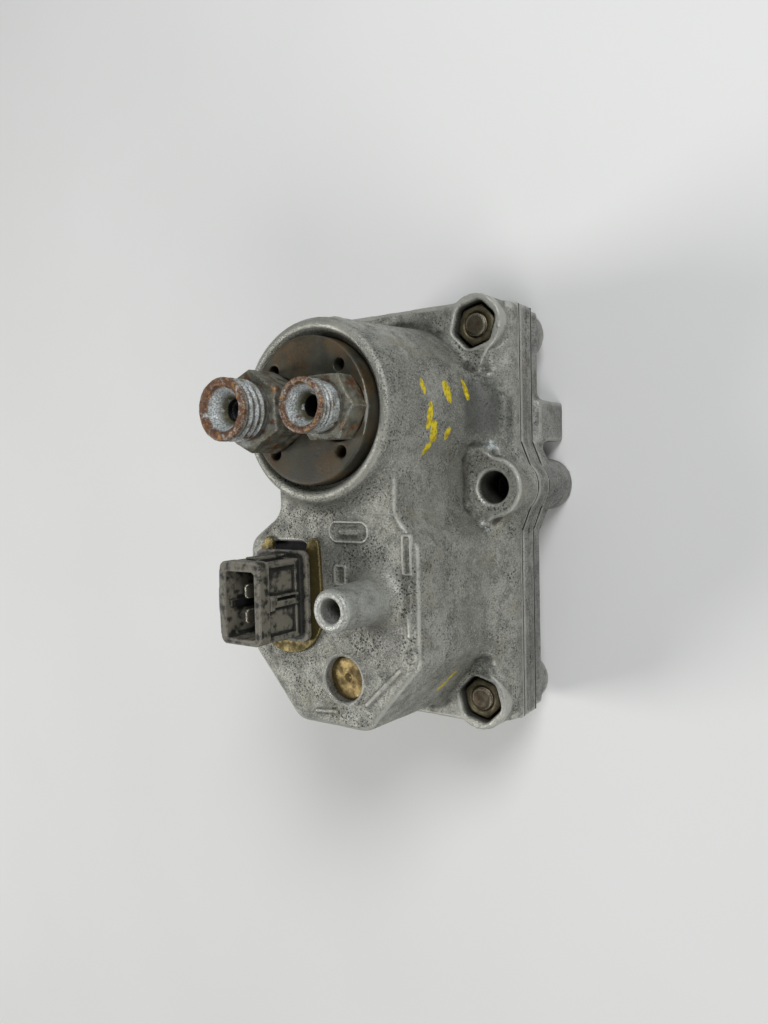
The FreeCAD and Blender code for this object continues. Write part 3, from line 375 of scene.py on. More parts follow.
class Finish:
    """A procedural material whose sizes are in millimetres."""

    def __init__(self, name, metallic=0.0, roughness=0.6, specular=0.5):
        self.material = bpy.data.materials.new(name)
        self.material.use_nodes = True
        self.nodes = self.material.node_tree.nodes
        self.links = self.material.node_tree.links
        self.shader = self.nodes["Principled BSDF"]
        given = {"Metallic": metallic, "Roughness": roughness, "Specular IOR Level": specular}
        for label, value in given.items():
            self.shader.inputs[label].default_value = value
        coordinates = self.add("TexCoord")
        scaled = self.vectors("SCALE", coordinates.outputs["Object"])
        scaled.inputs["Scale"].default_value = 1 / MM
        self.place = scaled.outputs["Vector"]
        self.colour = self.height = None

    def feed(self, value, socket):
        if isinstance(value, bpy.types.NodeSocket):
            self.links.new(value, socket)
        elif isinstance(value, tuple):
            socket.default_value = (*value[:3], 1.0) if len(socket.default_value) == 4 else value
        else:
            socket.default_value = value

    def add(self, kind):
        return self.nodes.new("ShaderNode" + kind)

    def vectors(self, operation, *values):
        node = self.add("VectorMath")
        node.operation = operation
        for socket, value in zip(node.inputs, values):
            self.feed(value, socket)
        return node

    def stretched(self, stretch):
        if stretch is None:
            return self.place
        return self.vectors("MULTIPLY", self.place, stretch).outputs["Vector"]

    def noise(self, size, detail=3.0, stretch=None, offset=0.0):
        node = self.add("TexNoise")
        node.noise_dimensions = "4D"
        node.inputs["W"].default_value = offset
        node.inputs["Scale"].default_value = 1 / size
        node.inputs["Detail"].default_value = detail
        self.links.new(self.stretched(stretch), node.inputs["Vector"])
        return node.outputs["Fac"]

    def cells(self, size, stretch=None):
        """Distance from the nearest of a scatter of spots, in spacings."""
        node = self.add("TexVoronoi")
        node.inputs["Scale"].default_value = 1 / size
        self.links.new(self.stretched(stretch), node.inputs["Vector"])
        return node.outputs["Distance"]

    def attribute(self, name):
        node = self.add("Attribute")
        node.attribute_name = name
        return node.outputs["Fac"]

    # edge drives worn edges, painted highlights and painted shade in inner corners; nook drives painted
    # shade in hollows
    def wear_and_painted_light(self):
        return self.attribute("edge"), self.attribute("nook")

    def axis(self, letter):
        node = self.add("SeparateXYZ")
        self.links.new(self.place, node.inputs[0])
        return node.outputs[letter]

    def maths(self, operation, first, second=0.0, third=0.0):
        node = self.add("Math")
        node.operation = operation
        for socket, value in zip(node.inputs, (first, second, third)):
            self.feed(value, socket)
        return node.outputs[0]

    def span(self, value, low, high, first=0.0, last=1.0):
        """Maps low..high to first..last, clamped, with soft ends."""
        node = self.add("MapRange")
        node.interpolation_type = "SMOOTHSTEP"
        for socket, number in zip(node.inputs, (value, low, high, first, last)):
            self.feed(number, socket)
        return node.outputs[0]

    def mix(self, share, first, second):
        node = self.add("Mix")
        node.data_type = "RGBA"
        for index, value in ((0, share), (6, first), (7, second)):
            self.feed(value, node.inputs[index])
        return node.outputs[2]

    def times(self, *values):
        total = values[0]
        for value in values[1:]:
            total = self.maths("MULTIPLY", total, value)
        return total

    def raise_by(self, *parts):
        """Adds heights in millimetres to the bump; each part is a value and its scale."""
        for part in parts:
            height = self.maths("MULTIPLY", *part)
            self.height = height if self.height is None else self.maths("ADD", self.height, height)

    def stain(self, colour, *shares):
        """Lays a colour over what is there, by the product of the shares."""
        self.colour = self.mix(self.times(*shares), self.colour, colour)

    def finish(self, roughness=None):
        self.feed(self.colour, self.shader.inputs["Base Color"])
        if roughness is not None:
            self.feed(roughness, self.shader.inputs["Roughness"])
        if self.height is not None:
            bump = self.add("Bump")
            bump.inputs["Strength"].default_value = 1.0
            bump.inputs["Distance"].default_value = MM
            self.links.new(self.height, bump.inputs["Height"])
            self.links.new(bump.outputs["Normal"], self.shader.inputs["Normal"])
        return self.material

    def ellipsoid(self, centre, sizes, lean=0.0):
        """1 inside a soft ellipsoid, 0 outside; lean turns it about Y, in degrees."""
        node = self.add("Mapping")
        node.vector_type = "TEXTURE"
        node.inputs["Location"].default_value = centre
        node.inputs["Rotation"].default_value = (0, math.radians(lean), 0)
        node.inputs["Scale"].default_value = sizes
        self.links.new(self.place, node.inputs["Vector"])
        length = self.vectors("LENGTH", node.outputs["Vector"])
        return self.maths("SUBTRACT", 1.0, length.outputs["Value"])


# yellow paint marks: middle, half sizes and lean
PAINT_DABS = [
    ((20.6, -19.0, 47.4), (2.7, 2.2, 1.0), 10),
    ((17.3, -18.7, 45.4), (2.4, 2.2, 1.15), -12),
    ((14.2, -17.6, 46.4), (2.0, 2.2, 0.75), 38),
    ((26.2, -18.6, 49.0), (1.5, 2.2, 0.7), -10),
    ((25.7, -19.0, 40.5), (2.5, 2.2, 1.2), -12),
    ((17.2, -18.8, 40.5), (1.4, 2.2, 0.8), 25),
    ((26.4, -19.2, 33.4), (2.4, 2.2, 0.75), -10),
    ((-36.2, -15.0, 38.2), (1.5, 2.2, 0.8), 40),
    ((-33.9, -17.0, 37.0), (1.3, 2.2, 0.6), 50),
]
# painted shade on the shelf between tower and flange
SHELF_SHADE_SPOTS = [
    ((23.0, -21.0, 29.5), (9.5, 6.0, 7.5), 0),
    ((21.0, -23.0, 25.0), (9.0, 4.0, 2.0), 0),
]
# white bloom beside the fixing boss
BLOOM_SPOTS = [
    ((14.9, -22.6, 28.9), (1.5, 3.6, 1.5), 0),
    ((-2.9, -21.4, 29.8), (1.6, 1.6, 1.3), 0),
]


def toned(colour, share):
    """A colour made darker or lighter."""
    return tuple(min(1, c * share) for c in colour)


def patches(it, spots, ragged, low, high):
    """From 0 to 1 inside any of the soft spots, with a ragged outline."""
    found = it.ellipsoid(*spots[0])
    for spot in spots[1:]:
        found = it.maths("MAXIMUM", found, it.ellipsoid(*spot))
    noise = it.maths("SUBTRACT", it.noise(0.9, 4, offset=31.0), 0.5)
    return it.span(it.maths("ADD", found, it.maths("MULTIPLY", noise, ragged)), low, high)


def cast_metal(name, tone, wear_and_painted_light=0.6, painted=False):
    """Weathered die-cast aluminium: pits, fine grain, stains and streaks, worn edges that are partly painted
    highlights, and painted shade in creases and hollows.
    """
    it = Finish(name, metallic=0.4, specular=0.4)
    broad = it.noise(11, 4)
    cloud = it.noise(2.6, 5, offset=3.0)
    grain = it.noise(0.34, 3, offset=5.0)
    fine = it.noise(0.19, 2, offset=9.0)
    low, high = toned(tone, 0.74), toned(tone, 1.2)
    it.colour = it.mix(it.span(broad, 0.38, 0.62), low, high)
    it.stain(toned(tone, 0.55), it.span(cloud, 0.48, 0.66), 0.7)
    streak = it.times(it.span(it.noise(0.7, 4, (0.16, 1, 1), 25.0), 0.54, 0.7), it.span(cloud, 0.4, 0.6))
    it.stain(toned(tone, 0.4), streak, it.span(it.axis("Z"), DECK - 1, DECK - 4), 0.7)
    it.stain(toned(tone, 0.3), it.span(grain, 0.5, 0.66), 0.62)
    it.stain(toned(tone, 1.7), it.span(grain, 0.46, 0.34), 0.5)
    it.stain(toned(tone, 1.9), it.span(fine, 0.55, 0.68), 0.4)
    brown = (tone[0] * 0.7, tone[1] * 0.62, tone[2] * 0.42)
    it.stain(brown, it.span(it.noise(6, 4, offset=21.0), 0.54, 0.7), 0.3)
    pitted = it.span(it.noise(6, 3, offset=13.0), 0.4, 0.62, 0.16, 0.36)
    pits = it.span(it.cells(0.66), pitted, it.maths("SUBTRACT", pitted, 0.12))
    pins = it.span(it.cells(0.42, (1.0, 1.0, 0.83)), it.maths("MULTIPLY", pitted, 0.95), 0.05)
    holes = it.maths("MAXIMUM", pits, pins)
    it.stain((0.035, 0.035, 0.03), holes, 0.85)
    edge, nook = it.wear_and_painted_light()
    ragged = it.maths("ADD", edge, it.maths("MULTIPLY", it.maths("SUBTRACT", grain, 0.5), 0.3))
    # Worn edges: outer corners lightened, partly real wear and partly a painted highlight along lit edges.
    worn = it.span(ragged, 0.15, 0.3)
    it.stain((0.52, 0.52, 0.47), worn, wear_and_painted_light)
    # Painted shade: inner corners and hollows darkened where shade falls.
    crease_shade = it.maths("ADD", it.span(edge, -0.1, -0.32), it.span(nook, 0.25, 0.9))
    it.stain((0.04, 0.038, 0.03), it.maths("MINIMUM", crease_shade, 1.0), it.span(cloud, 0.3, 0.6, 0.45, 0.85))
    if painted:
        up = it.axis("Z")
        tip = it.span(up, NIPPLE_TIP - 0.7, NIPPLE_TIP - 0.3)
        it.stain((0.42, 0.42, 0.38), tip, it.span(cloud, 0.62, 0.45), 0.8)
        # painted shade down the holes: each hole, its radius less and plus its edge, its top, and how dark
        # it is
        shaded_holes = [(spot, 3.3, 3.9, MOUNT_HIGH - 0.7, 0.95) for spot in MOUNTS]
        shaded_holes += [(spot, 5.2, 5.9, 28.6, 0.75) for spot in SCREWS]
        for spot, inner, outer, top, share in shaded_holes:
            across, deep = it.span(from_axis(it, spot), outer, inner), it.span(up, top + 0.3, top - 0.9)
            it.stain((0.018, 0.017, 0.013), across, deep, share)
        # Painted shade on the shelf between tower and flange.
        it.stain((0.055, 0.058, 0.053), patches(it, SHELF_SHADE_SPOTS, 0.6, -0.05, 0.5), 0.8)
        rim = it.times(it.span(up, RIM - 1.0, RIM - 0.4), it.span(up, RIM + 0.8, RIM + 0.3))
        it.stain((0.30, 0.30, 0.25), rim, it.span(grain, 0.58, 0.44), 0.5)
        # Painted highlight: the nipple's flank lightened all round.
        spout_highlight = it.times(it.span(from_axis(it, NIPPLE), 5.6, 4.2), it.span(up, DECK + 0.5, DECK + 6.0))
        it.stain((0.38, 0.39, 0.37), spout_highlight, it.span(cloud, 0.8, 0.4), 0.55)
        it.stain((0.48, 0.54, 0.56), patches(it, BLOOM_SPOTS, 3.0, 0.2, 0.9), 0.9)
        paint = patches(it, PAINT_DABS, 1.5, -0.12, 0.1)
        thick = it.span(it.noise(0.8, 3, offset=33.0), 0.35, 0.6)
        it.stain(it.mix(thick, (0.42, 0.30, 0.008), (0.74, 0.60, 0.012)), paint, 0.96)
        it.raise_by((paint, 0.08))
    it.raise_by((broad, 0.25), (cloud, 0.12), (grain, 0.15), (fine, 0.04), (holes, -0.12))
    rough = it.span(cloud, 0.3, 0.7, 0.42, 0.62)
    return it.finish(it.maths("SUBTRACT", rough, it.times(worn, 0.12)))


def from_axis(it, centre):
    """Distance from an upright axis."""
    flat = it.vectors("MULTIPLY", it.place, (1, 1, 0)).outputs["Vector"]
    return it.vectors("DISTANCE", flat, (centre[0], centre[1], 0)).outputs["Value"]


def dark_disc():
    """Dark machined steel under a brown film, with a painted highlight on its outer edge and painted shade
    in its hollows.
    """
    it = Finish("disc_steel", metallic=0.2, specular=0.35)
    cloud = it.noise(4.5, 5)
    spots = it.noise(0.5, 4, offset=4.0)
    it.colour = it.mix(it.span(cloud, 0.4, 0.62), (0.036, 0.0345, 0.0245), (0.066, 0.0625, 0.045))
    rust = it.times(it.span(it.noise(6.5, 6, offset=7.0), 0.44, 0.64), it.span(spots, 0.3, 0.62))
    it.stain((0.105, 0.058, 0.018), rust, 0.7)
    it.stain((0.10, 0.095, 0.075), it.span(spots, 0.6, 0.75), 0.4)
    edge, nook = it.wear_and_painted_light()
    # Painted highlight: a thin bright line on the outer top edge.
    outer = it.span(from_axis(it, DISC), 13.7, 14.2, 0.12, 1.0)
    it.stain((0.34, 0.34, 0.30), it.span(edge, 0.2, 0.3), outer, 0.7)
    # Painted shade in the hollows.
    it.stain((0.014, 0.012, 0.009), it.span(nook, 0.25, 0.8, 0.0, 0.85))
    it.raise_by((cloud, 0.05), (spots, 0.03), (it.noise(0.18, 2, offset=6.0), 0.015))
    return it.finish(it.span(cloud, 0.3, 0.7, 0.45, 0.65))


def corroded_fitting(name, tip, hex_high, centre, mouth, drill):
    """Plated steel: olive hexagon, white bloom on the thread and in the seat, rust at the rim."""
    it = Finish(name, metallic=0.4, specular=0.45)
    up, away = it.axis("Z"), from_axis(it, centre)
    cloud, speck = it.noise(1.8, 5), it.noise(0.3, 4, offset=3.0)
    olive = it.mix(it.span(cloud, 0.38, 0.64), (0.075, 0.072, 0.052), (0.17, 0.162, 0.122))
    olive = it.mix(it.times(it.span(speck, 0.56, 0.72), 0.5), olive, (0.26, 0.255, 0.22))
    frost = it.times(it.span(it.noise(3.0, 5, offset=27.0), 0.52, 0.66), 0.55)
    olive = it.mix(frost, olive, (0.21, 0.23, 0.235))
    dark_rust = it.mix(it.noise(0.5, 4, offset=8.0), (0.040, 0.017, 0.008), (0.16, 0.058, 0.014))
    rust = it.mix(it.span(it.noise(1.0, 4, offset=9.0), 0.5, 0.68), dark_rust, (0.32, 0.15, 0.04))
    bloom = it.mix(it.span(speck, 0.35, 0.65), (0.19, 0.21, 0.215), (0.58, 0.61, 0.60))
    on_thread = it.span(up, hex_high - 0.2, hex_high + 1.0)
    patch = it.span(it.noise(2.4, 4, offset=12.0), 0.36, 0.56, 0.35, 1.0)
    it.colour = it.mix(it.times(on_thread, patch), olive, bloom)
    it.stain(rust, it.span(it.noise(2.2, 6, offset=15.0), 0.56, 0.64), 0.85)
    foot = it.span(up, HEX_LOW + 2.2, HEX_LOW + 0.3)
    it.stain(rust, foot, it.span(it.noise(1.3, 4, offset=19.0), 0.42, 0.55), 0.8)
    rim = it.times(it.span(up, tip - 1.5, tip - 0.3), it.span(away, mouth - 0.7, mouth - 0.2))
    ragged = it.span(it.noise(1.3, 5, offset=18.0), 0.30, 0.47)
    it.stain(rust, rim, ragged, 0.95)
    seat = it.mix(it.span(away, drill + 0.3, drill + 1.3), (0.085, 0.08, 0.045), bloom)
    inside = it.times(it.span(away, mouth - 0.1, mouth - 0.5), it.span(up, tip - 4.6, tip - 4.2))
    it.stain(seat, inside, it.span(it.noise(1.2, 4, offset=23.0), 0.62, 0.56))
    # Painted shade down the drilling.
    it.stain((0.006, 0.006, 0.005), it.span(away, drill + 0.25, drill), it.span(up, tip - 3.7, tip - 4.2))
    edge = it.attribute("edge")
    it.stain((0.34, 0.33, 0.28), it.span(edge, 0.14, 0.3), it.span(speck, 0.45, 0.6), 0.5)
    # Painted shade in inner corners, in a rust-brown tone.
    it.stain((0.03, 0.022, 0.013), it.span(edge, -0.08, -0.28, 0.0, 0.75))
    it.raise_by((cloud, 0.12), (speck, 0.08))
    return it.finish(it.span(cloud, 0.3, 0.7, 0.42, 0.72))


def from_socket(it):
    """Distance outside the connector's mouth, below 0 inside it."""
    sides = []
    for letter, middle, half in (("X", BLADES_X, 6.7), ("Y", HOOD[1], 3.9)):
        away = it.maths("ABSOLUTE", it.maths("SUBTRACT", it.axis(letter), middle))
        sides.append(it.maths("SUBTRACT", away, half))
    above = it.span(it.axis("Z"), HOOD_TOP - 0.6, HOOD_TOP - 0.2, 0.0, 5.0)
    return it.maths("ADD", it.maths("MAXIMUM", *sides), above)


def dusty_plastic():
    """Glass-filled black plastic gone grey with dust."""
    it = Finish("connector_plastic", roughness=0.6, specular=0.35)
    cloud, speck = it.noise(3.2, 5), it.noise(0.22, 3, offset=4.0)
    it.colour = it.mix(it.span(cloud, 0.35, 0.65), (0.009, 0.009, 0.008), (0.020, 0.0195, 0.016))
    it.stain((0.11, 0.106, 0.092), it.span(speck, 0.54, 0.72), 0.4)
    dust = it.times(it.span(it.noise(1.6, 5, offset=8.0), 0.36, 0.56), 0.85)
    band = it.span(it.axis("Z"), COLLAR_LOW - 0.3, COLLAR_LOW + 0.1)
    edge, nook = it.wear_and_painted_light()
    rails = it.span(edge, 0.02, 0.16)
    it.stain((0.16, 0.15, 0.115), it.maths("MAXIMUM", band, rails), dust)
    it.stain((0.22, 0.21, 0.18), it.span(edge, 0.12, 0.3), it.span(speck, 0.42, 0.6), 0.6)
    # Painted shade in inner corners.
    it.stain((0.012, 0.012, 0.010), it.span(edge, -0.08, -0.3, 0.0, 0.7))
    # Painted shade inside the socket's mouth and in hollows.
    mouth = it.span(from_socket(it), -0.3, -0.8)
    it.stain((0.006, 0.006, 0.006), it.maths("MAXIMUM", mouth, it.span(nook, 0.3, 0.9)))
    it.raise_by((speck, 0.03), (cloud, 0.05))
    return it.finish(it.span(speck, 0.3, 0.7, 0.5, 0.75))


def stained_brass(name, tone, stain, share=0.5, roughness=0.42):
    it = Finish(name, metallic=0.75, specular=0.5)
    cloud, speck = it.noise(1.7, 5), it.noise(0.25, 4, offset=4.0)
    it.colour = it.mix(it.span(cloud, 0.42, 0.62), tone, toned(tone, 0.62))
    it.stain(stain, it.span(it.noise(1.1, 5, offset=7.0), 0.5, 0.62), share)
    it.stain(toned(tone, 1.6), it.span(speck, 0.55, 0.7), 0.4)
    edge, nook = it.wear_and_painted_light()
    bright = tuple(min(1, c * 2.2 + 0.06) for c in tone)
    it.stain(bright, it.span(edge, 0.14, 0.28), it.span(speck, 0.4, 0.55), 0.7)
    # Painted shade in hollows, in a darkened tone of the stain.
    it.stain(toned(stain, 0.3), it.span(nook, 0.3, 0.9, 0.0, 0.7))
    it.raise_by((cloud, 0.06), (speck, 0.03))
    return it.finish(it.span(cloud, 0.3, 0.7, roughness - 0.1, roughness + 0.2))


def plain_metal(name, tone, roughness=0.35, along=None):
    """Clean inner metal with drawn or turned marks."""
    it = Finish(name, metallic=0.9)
    marks = it.noise(0.35, 4, along)
    cloud = it.noise(3, 4, offset=2.0)
    it.colour = it.mix(it.span(cloud, 0.35, 0.65), toned(tone, 0.8), tone)
    it.stain(toned(tone, 0.55), it.span(marks, 0.5, 0.75), 0.35)
    it.raise_by((marks, 0.015))
    return it.finish(it.span(marks, 0.3, 0.7, roughness - 0.08, roughness + 0.15))


def soft_black(name, tone, weave=0.0):
    """Rubber, gasket board or rubberised cloth."""
    it = Finish(name, roughness=0.7, specular=0.3)
    cloud, speck = it.noise(2.5, 4), it.noise(0.2, 3, offset=4.0)
    it.colour = it.mix(it.span(cloud, 0.35, 0.65), toned(tone, 0.7), toned(tone, 1.3))
    it.stain(toned(tone, 2.6), it.span(speck, 0.58, 0.75), 0.4)
    it.raise_by((speck, 0.03))
    if weave:
        waves = [it.maths("SINE", it.maths("MULTIPLY", it.axis(letter), weave)) for letter in "XY"]
        it.raise_by((it.times(*waves), 0.02))
    return it.finish()


def insulating_mica():
    it = Finish("mica", roughness=0.5, specular=0.4)
    leaves = it.noise(2.2, 6, (1, 1, 4))
    speck = it.noise(0.3, 4, offset=5.0)
    it.colour = it.mix(it.span(leaves, 0.35, 0.65), (0.30, 0.25, 0.17), (0.56, 0.50, 0.38))
    it.stain((0.72, 0.68, 0.58), it.span(speck, 0.58, 0.72), 0.5)
    it.raise_by((leaves, 0.04))
    return it.finish(it.span(speck, 0.3, 0.7, 0.4, 0.65))


# ---- castings

def casting(node, step, inner, outer, extra=None, wave=0.05):
    """A CAD casting with rounded inner and outer corners and an uneven skin."""
    field = rounded_off(filled_corners(node, field_of(node, step), inner), outer)
    if extra is not None:
        field = extra(field)
    skin = lumps(field, 3.4) * 0.6 + lumps(field, 1.5) * 0.4
    field.values = field.values + wave * skin
    return kept_within(field, node)


# round the screws and the mounting holes, where the flange stays crisp
SCREW_CLEAR, MOUNT_CLEAR = 6.5, 4.6


def soft_coves(field):
    """Melts the flange's flanks and the shelf between its pads into the walls."""
    rough = field_of("upper_housing", 0.6)
    soft = finer(rounded_off(filled_corners("upper_housing", rough, 3.4), 1.0), field)
    x, y, z = field.axes()
    reach = np.maximum(ramp(np.abs(y), 20.2, 21.4), ramp(np.abs(x), 37.5, 38.7))
    shelves = np.maximum(ramp(x, 14.6, 16.2) * ramp(x, 31.4, 29.8),
                         ramp(x, -31.5, -29.9) * ramp(x, -3.0, -4.6))
    shelves = shelves * ramp(np.abs(y), 16.5, 17.5) * ramp(z, 25.0, 26.5) * ramp(z, 40.0, 36.0)
    flanks = reach * ramp(z, 21.9, 23.2) * ramp(z, 28.9, 27.9)
    bores = [about(field, spot)[3] - SCREW_CLEAR for spot in SCREWS]
    bores += [about(field, spot)[3] - MOUNT_CLEAR for spot in MOUNTS]
    clear = ramp(np.minimum.reduce(bores), 0.0, 0.8)
    weight = np.maximum(shelves, flanks) * clear
    field.values = field.values + (soft - field.values) * weight.astype(np.float32)
    return field


# what the wide fillets leave alone: round openings with their radii, and the socket's box
OPENINGS = ((NIPPLE, 3.5), ((TOWER_X, 0), 17.2), (POST, 6.0))
SOCKET = ((-23.5, 4.0, 50), (-3.3, 16.5, 70))


def deck_fillets(field):
    """Adds the wide fillets round the nipple and at the foot of the tower."""
    rough = field_of("upper_housing", 0.7)
    filled = finer(filled_corners("upper_housing", rough, 2.4), field)
    x, y, z = field.axes()
    bare = [DECK - 2 - z] + [radius - about(field, spot)[3] for spot, radius in OPENINGS]
    bare.append(-block(x, y, z, *SOCKET))
    field.values = np.minimum(field.values, filled + 3 * sum(np.maximum(0, depth) for depth in bare))
    return soft_coves(field)


def raised_bar(x, y, z, start, end, half, height):
    """A low blank bar with round ends on the deck."""
    along = np.array(end) - np.array(start)
    length = float(np.hypot(*along))
    along = along / length
    run = np.clip((x - start[0]) * along[0] + (y - start[1]) * along[1], 0, length)
    away = np.hypot(x - start[0] - run * along[0], y - start[1] - run * along[1])
    return np.maximum(away - half, slab(z, DECK - 0.6, DECK + height))


def raised_frame(x, y, z, low, high, corner, line=0.5):
    """A low rounded outline on the deck."""
    outer = block(x, y, z, (*low, DECK - 0.6), (*high, DECK + 0.42), corner)
    start, end = (low[0] + line, low[1] + line, DECK - 1), (high[0] - line, high[1] - line, DECK + 1)
    inner = block(x, y, z, start, end, max(corner - line, 0.1))
    return without(outer, inner, 0.1)


def cast_marks(field):
    """Blank raised frames and bars on the deck where a casting carries its marks."""
    x, y, z = field.axes()
    marks = [
        raised_frame(x, y, z, (-4.3, -10.35), (0.15, -0.5), 2.0),
        raised_bar(x, y, z, (-2.1, -7.4), (-2.1, -3.4), 0.7, 0.36),
        raised_frame(x, y, z, (-13.0, -4.6), (-8.7, -1.5), 0.5, 0.6),
        raised_frame(x, y, z, (-10.1, -20.2), (-2.2, -17.9), 0.4),
        raised_bar(x, y, z, (-21.7, -19.3), (-12.5, -19.3), 0.55, 0.36),
        raised_bar(x, y, z, (-36.4, -8.9), (-28.6, -17.0), 0.6, 0.32),
        raised_bar(x, y, z, (-39.4, 3.9), (-38.9, -1.1), 0.5, 0.28),
    ]
    ring = np.hypot(x + 25.6, y + 19.5)
    marks.append(np.maximum(np.abs(ring - 1.05) - 0.27, slab(z, DECK - 0.6, DECK + 0.36)))
    field.values = union(field.values, np.minimum.reduce(marks), 0.12)
    return field


# heights of the lines round the ring, above its foot
PARTING_AT, SCRIBED_AT = 2.9, (1.5, 4.3)


def make_castings():
    shell = cast_marks(casting("upper_housing", 0.3, 1.2, 0.3, deck_fillets, 0.045))
    piece = piece_from("housing_casting", shell, reach=0.5)
    finish = cast_metal("cast_housing", (0.25, 0.252, 0.222), painted=True)
    settle(piece, finish, "cast_housing", "upper_housing")
    ring = casting("intermediate_ring", 0.3, 0.3, 0.4, wave=0.05)
    up = ring.axes()[2] - low_of("intermediate_ring")[2]
    parting = np.abs(np.abs(up - PARTING_AT) - 0.1)
    scribed = np.minimum(np.abs(up - SCRIBED_AT[0]), np.abs(up - SCRIBED_AT[1]))
    ring.values = ring.values + 0.2 * ramp(parting, 1 / 3, 0) + 0.07 * ramp(scribed, 1 / 3, 0)
    piece = piece_from("ring_casting", ring, reach=0.5)
    finish = cast_metal("cast_ring", (0.215, 0.215, 0.195), 0.35)
    settle(piece, finish, "cast_ring", "intermediate_ring")
    cover = casting("bottom_cover", 0.32, 1.0, 0.45, wave=0.06)
    piece = piece_from("cover_casting", cover, reach=0.5)
    finish = cast_metal("cast_cover", (0.21, 0.21, 0.195), 0.3)
    settle(piece, finish, "cast_cover", "bottom_cover")


# ---- fuel disc and unions

# node and the radius that its pocket in the disc closes to
POCKETS = (("inlet_union", 7.2), ("return_union", 6.3))
POCKET_FILL = 1.5
HOLE_SPOT, HOLE_CLEAR = 8.2, 1.2


def make_disc():
    node = "valve_body"
    field = filled_corners(node, field_of(node, 0.16), 0.25)
    x, y, z, away = about(field, DISC)
    edge = away - high_of(node)[1] + DISC[1]
    holes = [HOLE_CLEAR - np.hypot(x - HOLE_SPOT * side_x, y - HOLE_SPOT * side_y)
             for side_x, side_y in CORNERS.values()]
    depth = slab(z, DISC_TOP - 2.2, DISC_TOP - 0.03)
    collars = []
    for union_node, pocket in POCKETS:
        around = about(field, middle_of(union_node))[3]
        ring = np.abs(around - pocket - POCKET_FILL / 2) - POCKET_FILL / 2
        collars.append(all_of(ring, depth, edge, *holes))
    collar = np.minimum(*collars)
    rounded = rounded_off(Field(np.minimum(field.values, collar), field.start, field.step), 0.2)
    field.values = np.minimum(rounded.values, collar + 0.05) + 0.015 * lumps(field, 2.2)
    piece = piece_from("fuel_disc", kept_within(field, node), reach=0.4)
    settle(piece, dark_disc(), "disc_steel", "valve_body")


UNIONS = {
    # across flats, first corner, thread radius, pitch, hexagon top, seat mouth, drilling, stub
    "inlet": (14.0, 0, 5.95, 1.5, 70.9, 4.3, 2.1, 5.0),
    "return": (12.0, 30, 5.05, 1.0, 67.4, 4.0, 2.0, 4.3),
}
HEX_LOW = 61.7
CONE_DEEP = 4.0


def make_union(name):
    flats, turn, crest, pitch, hex_high, mouth, drill, stub = UNIONS[name]
    node = name + "_union"
    centre = middle_of(node)
    tip, foot = high_of(node)[2], low_of(node)[2]
    field = field_of(node, 0.13)
    x, y, z, radius = about(field, centre)
    wrench = overlap(hexagon(x, y, flats, turn), slab(z, HEX_LOW, hex_high), 0.5)
    top_cone = (radius - flats / 2 + 0.25) * 0.5 + (z - hex_high) * 0.87
    foot_cone = (radius - flats / 2 + 0.2) * 0.62 - (z - HEX_LOW) * 0.78
    wrench = overlap(overlap(wrench, top_cone, 0.3), foot_cone, 0.3)
    depth = 0.55 * pitch
    start, stop = tip - 0.9, tip - 0.5 - 3.6 * pitch
    fade = ramp(start - z, 0, 0.5 * pitch) * ramp(z - stop, 0, 0.6 * pitch)
    below = ramp(stop + 0.4 - z, 0, 0.5)
    relief = depth * thread_depth(x, y, z, pitch) * fade + (depth * 0.75) * below
    worn = 0.5 + 0.5 * lumps(field, 2.6)
    relief = relief * (1 - 0.35 * worn)
    neck = overlap(radius - crest + relief, slab(z, HEX_LOW + 1, tip), 0.45)
    body = union(wrench, neck, 0.5)
    body = union(body, np.maximum(radius - stub, slab(z, foot, HEX_LOW + 1)))
    slope = (mouth - drill) / (CONE_DEEP - 0.3)
    cone = (radius - drill - (z - tip + CONE_DEEP) * slope) * 0.86
    bore = np.minimum(radius - drill, np.maximum(cone, tip - CONE_DEEP - z))
    body = without(body, bore, 0.35)
    field.values = (body + 0.05 * lumps(field, 0.9) + 0.03 * lumps(field, 0.45)).astype(np.float32)
    piece = piece_from(name + "_fitting", kept_within(field, node), reach=0.35)
    finish = corroded_fitting(name + "_steel", tip, hex_high, centre, mouth, drill)
    settle(piece, finish, "union_steel", node)


# ---- corner fasteners

NUT_FLATS, NUT_BORE = 8.0, 2.52
HEAD_RADIUS, HEAD_HIGH, HEAD_SLOT = 4.25, 3.5, 1.2
CREST, PITCH = 2.5, 0.8


def make_fasteners():
    nut_finish = stained_brass("nut_zinc", (0.125, 0.108, 0.064), (0.045, 0.032, 0.018), 0.6, 0.5)
    screw_finish = stained_brass("screw_zinc", (0.11, 0.096, 0.066), (0.07, 0.035, 0.018), 0.6, 0.5)
    for name, (side_x, side_y) in CORNERS.items():
        make_nut(name, 60 + 15 * side_x * side_y, nut_finish)
        make_screw(name, screw_finish)


def make_nut(name, turn, finish):
    node = "flange_nut_" + name
    centre, low, high = middle_of(node), low_of(node)[2], high_of(node)[2]
    field = field_of(node, 0.12)
    x, y, z, radius = about(field, centre)
    body = overlap(hexagon(x, y, NUT_FLATS, turn), slab(z, low, high), 0.3)
    for sign, level in ((1, high), (-1, low)):
        body = overlap(body, (radius - 3.75) * 0.5 + sign * (z - level) * 0.87, 0.2)
    bore = np.minimum(radius - NUT_BORE, (radius - 3.0) * 0.7 - (z - high) * 0.7)
    body = without(body, bore, 0.15)
    field.values = (body + 0.03 * lumps(field, 0.9)).astype(np.float32)
    settle(piece_from("corner_nut_" + name, field, reach=0.3), finish, "zinc_yellow", node)


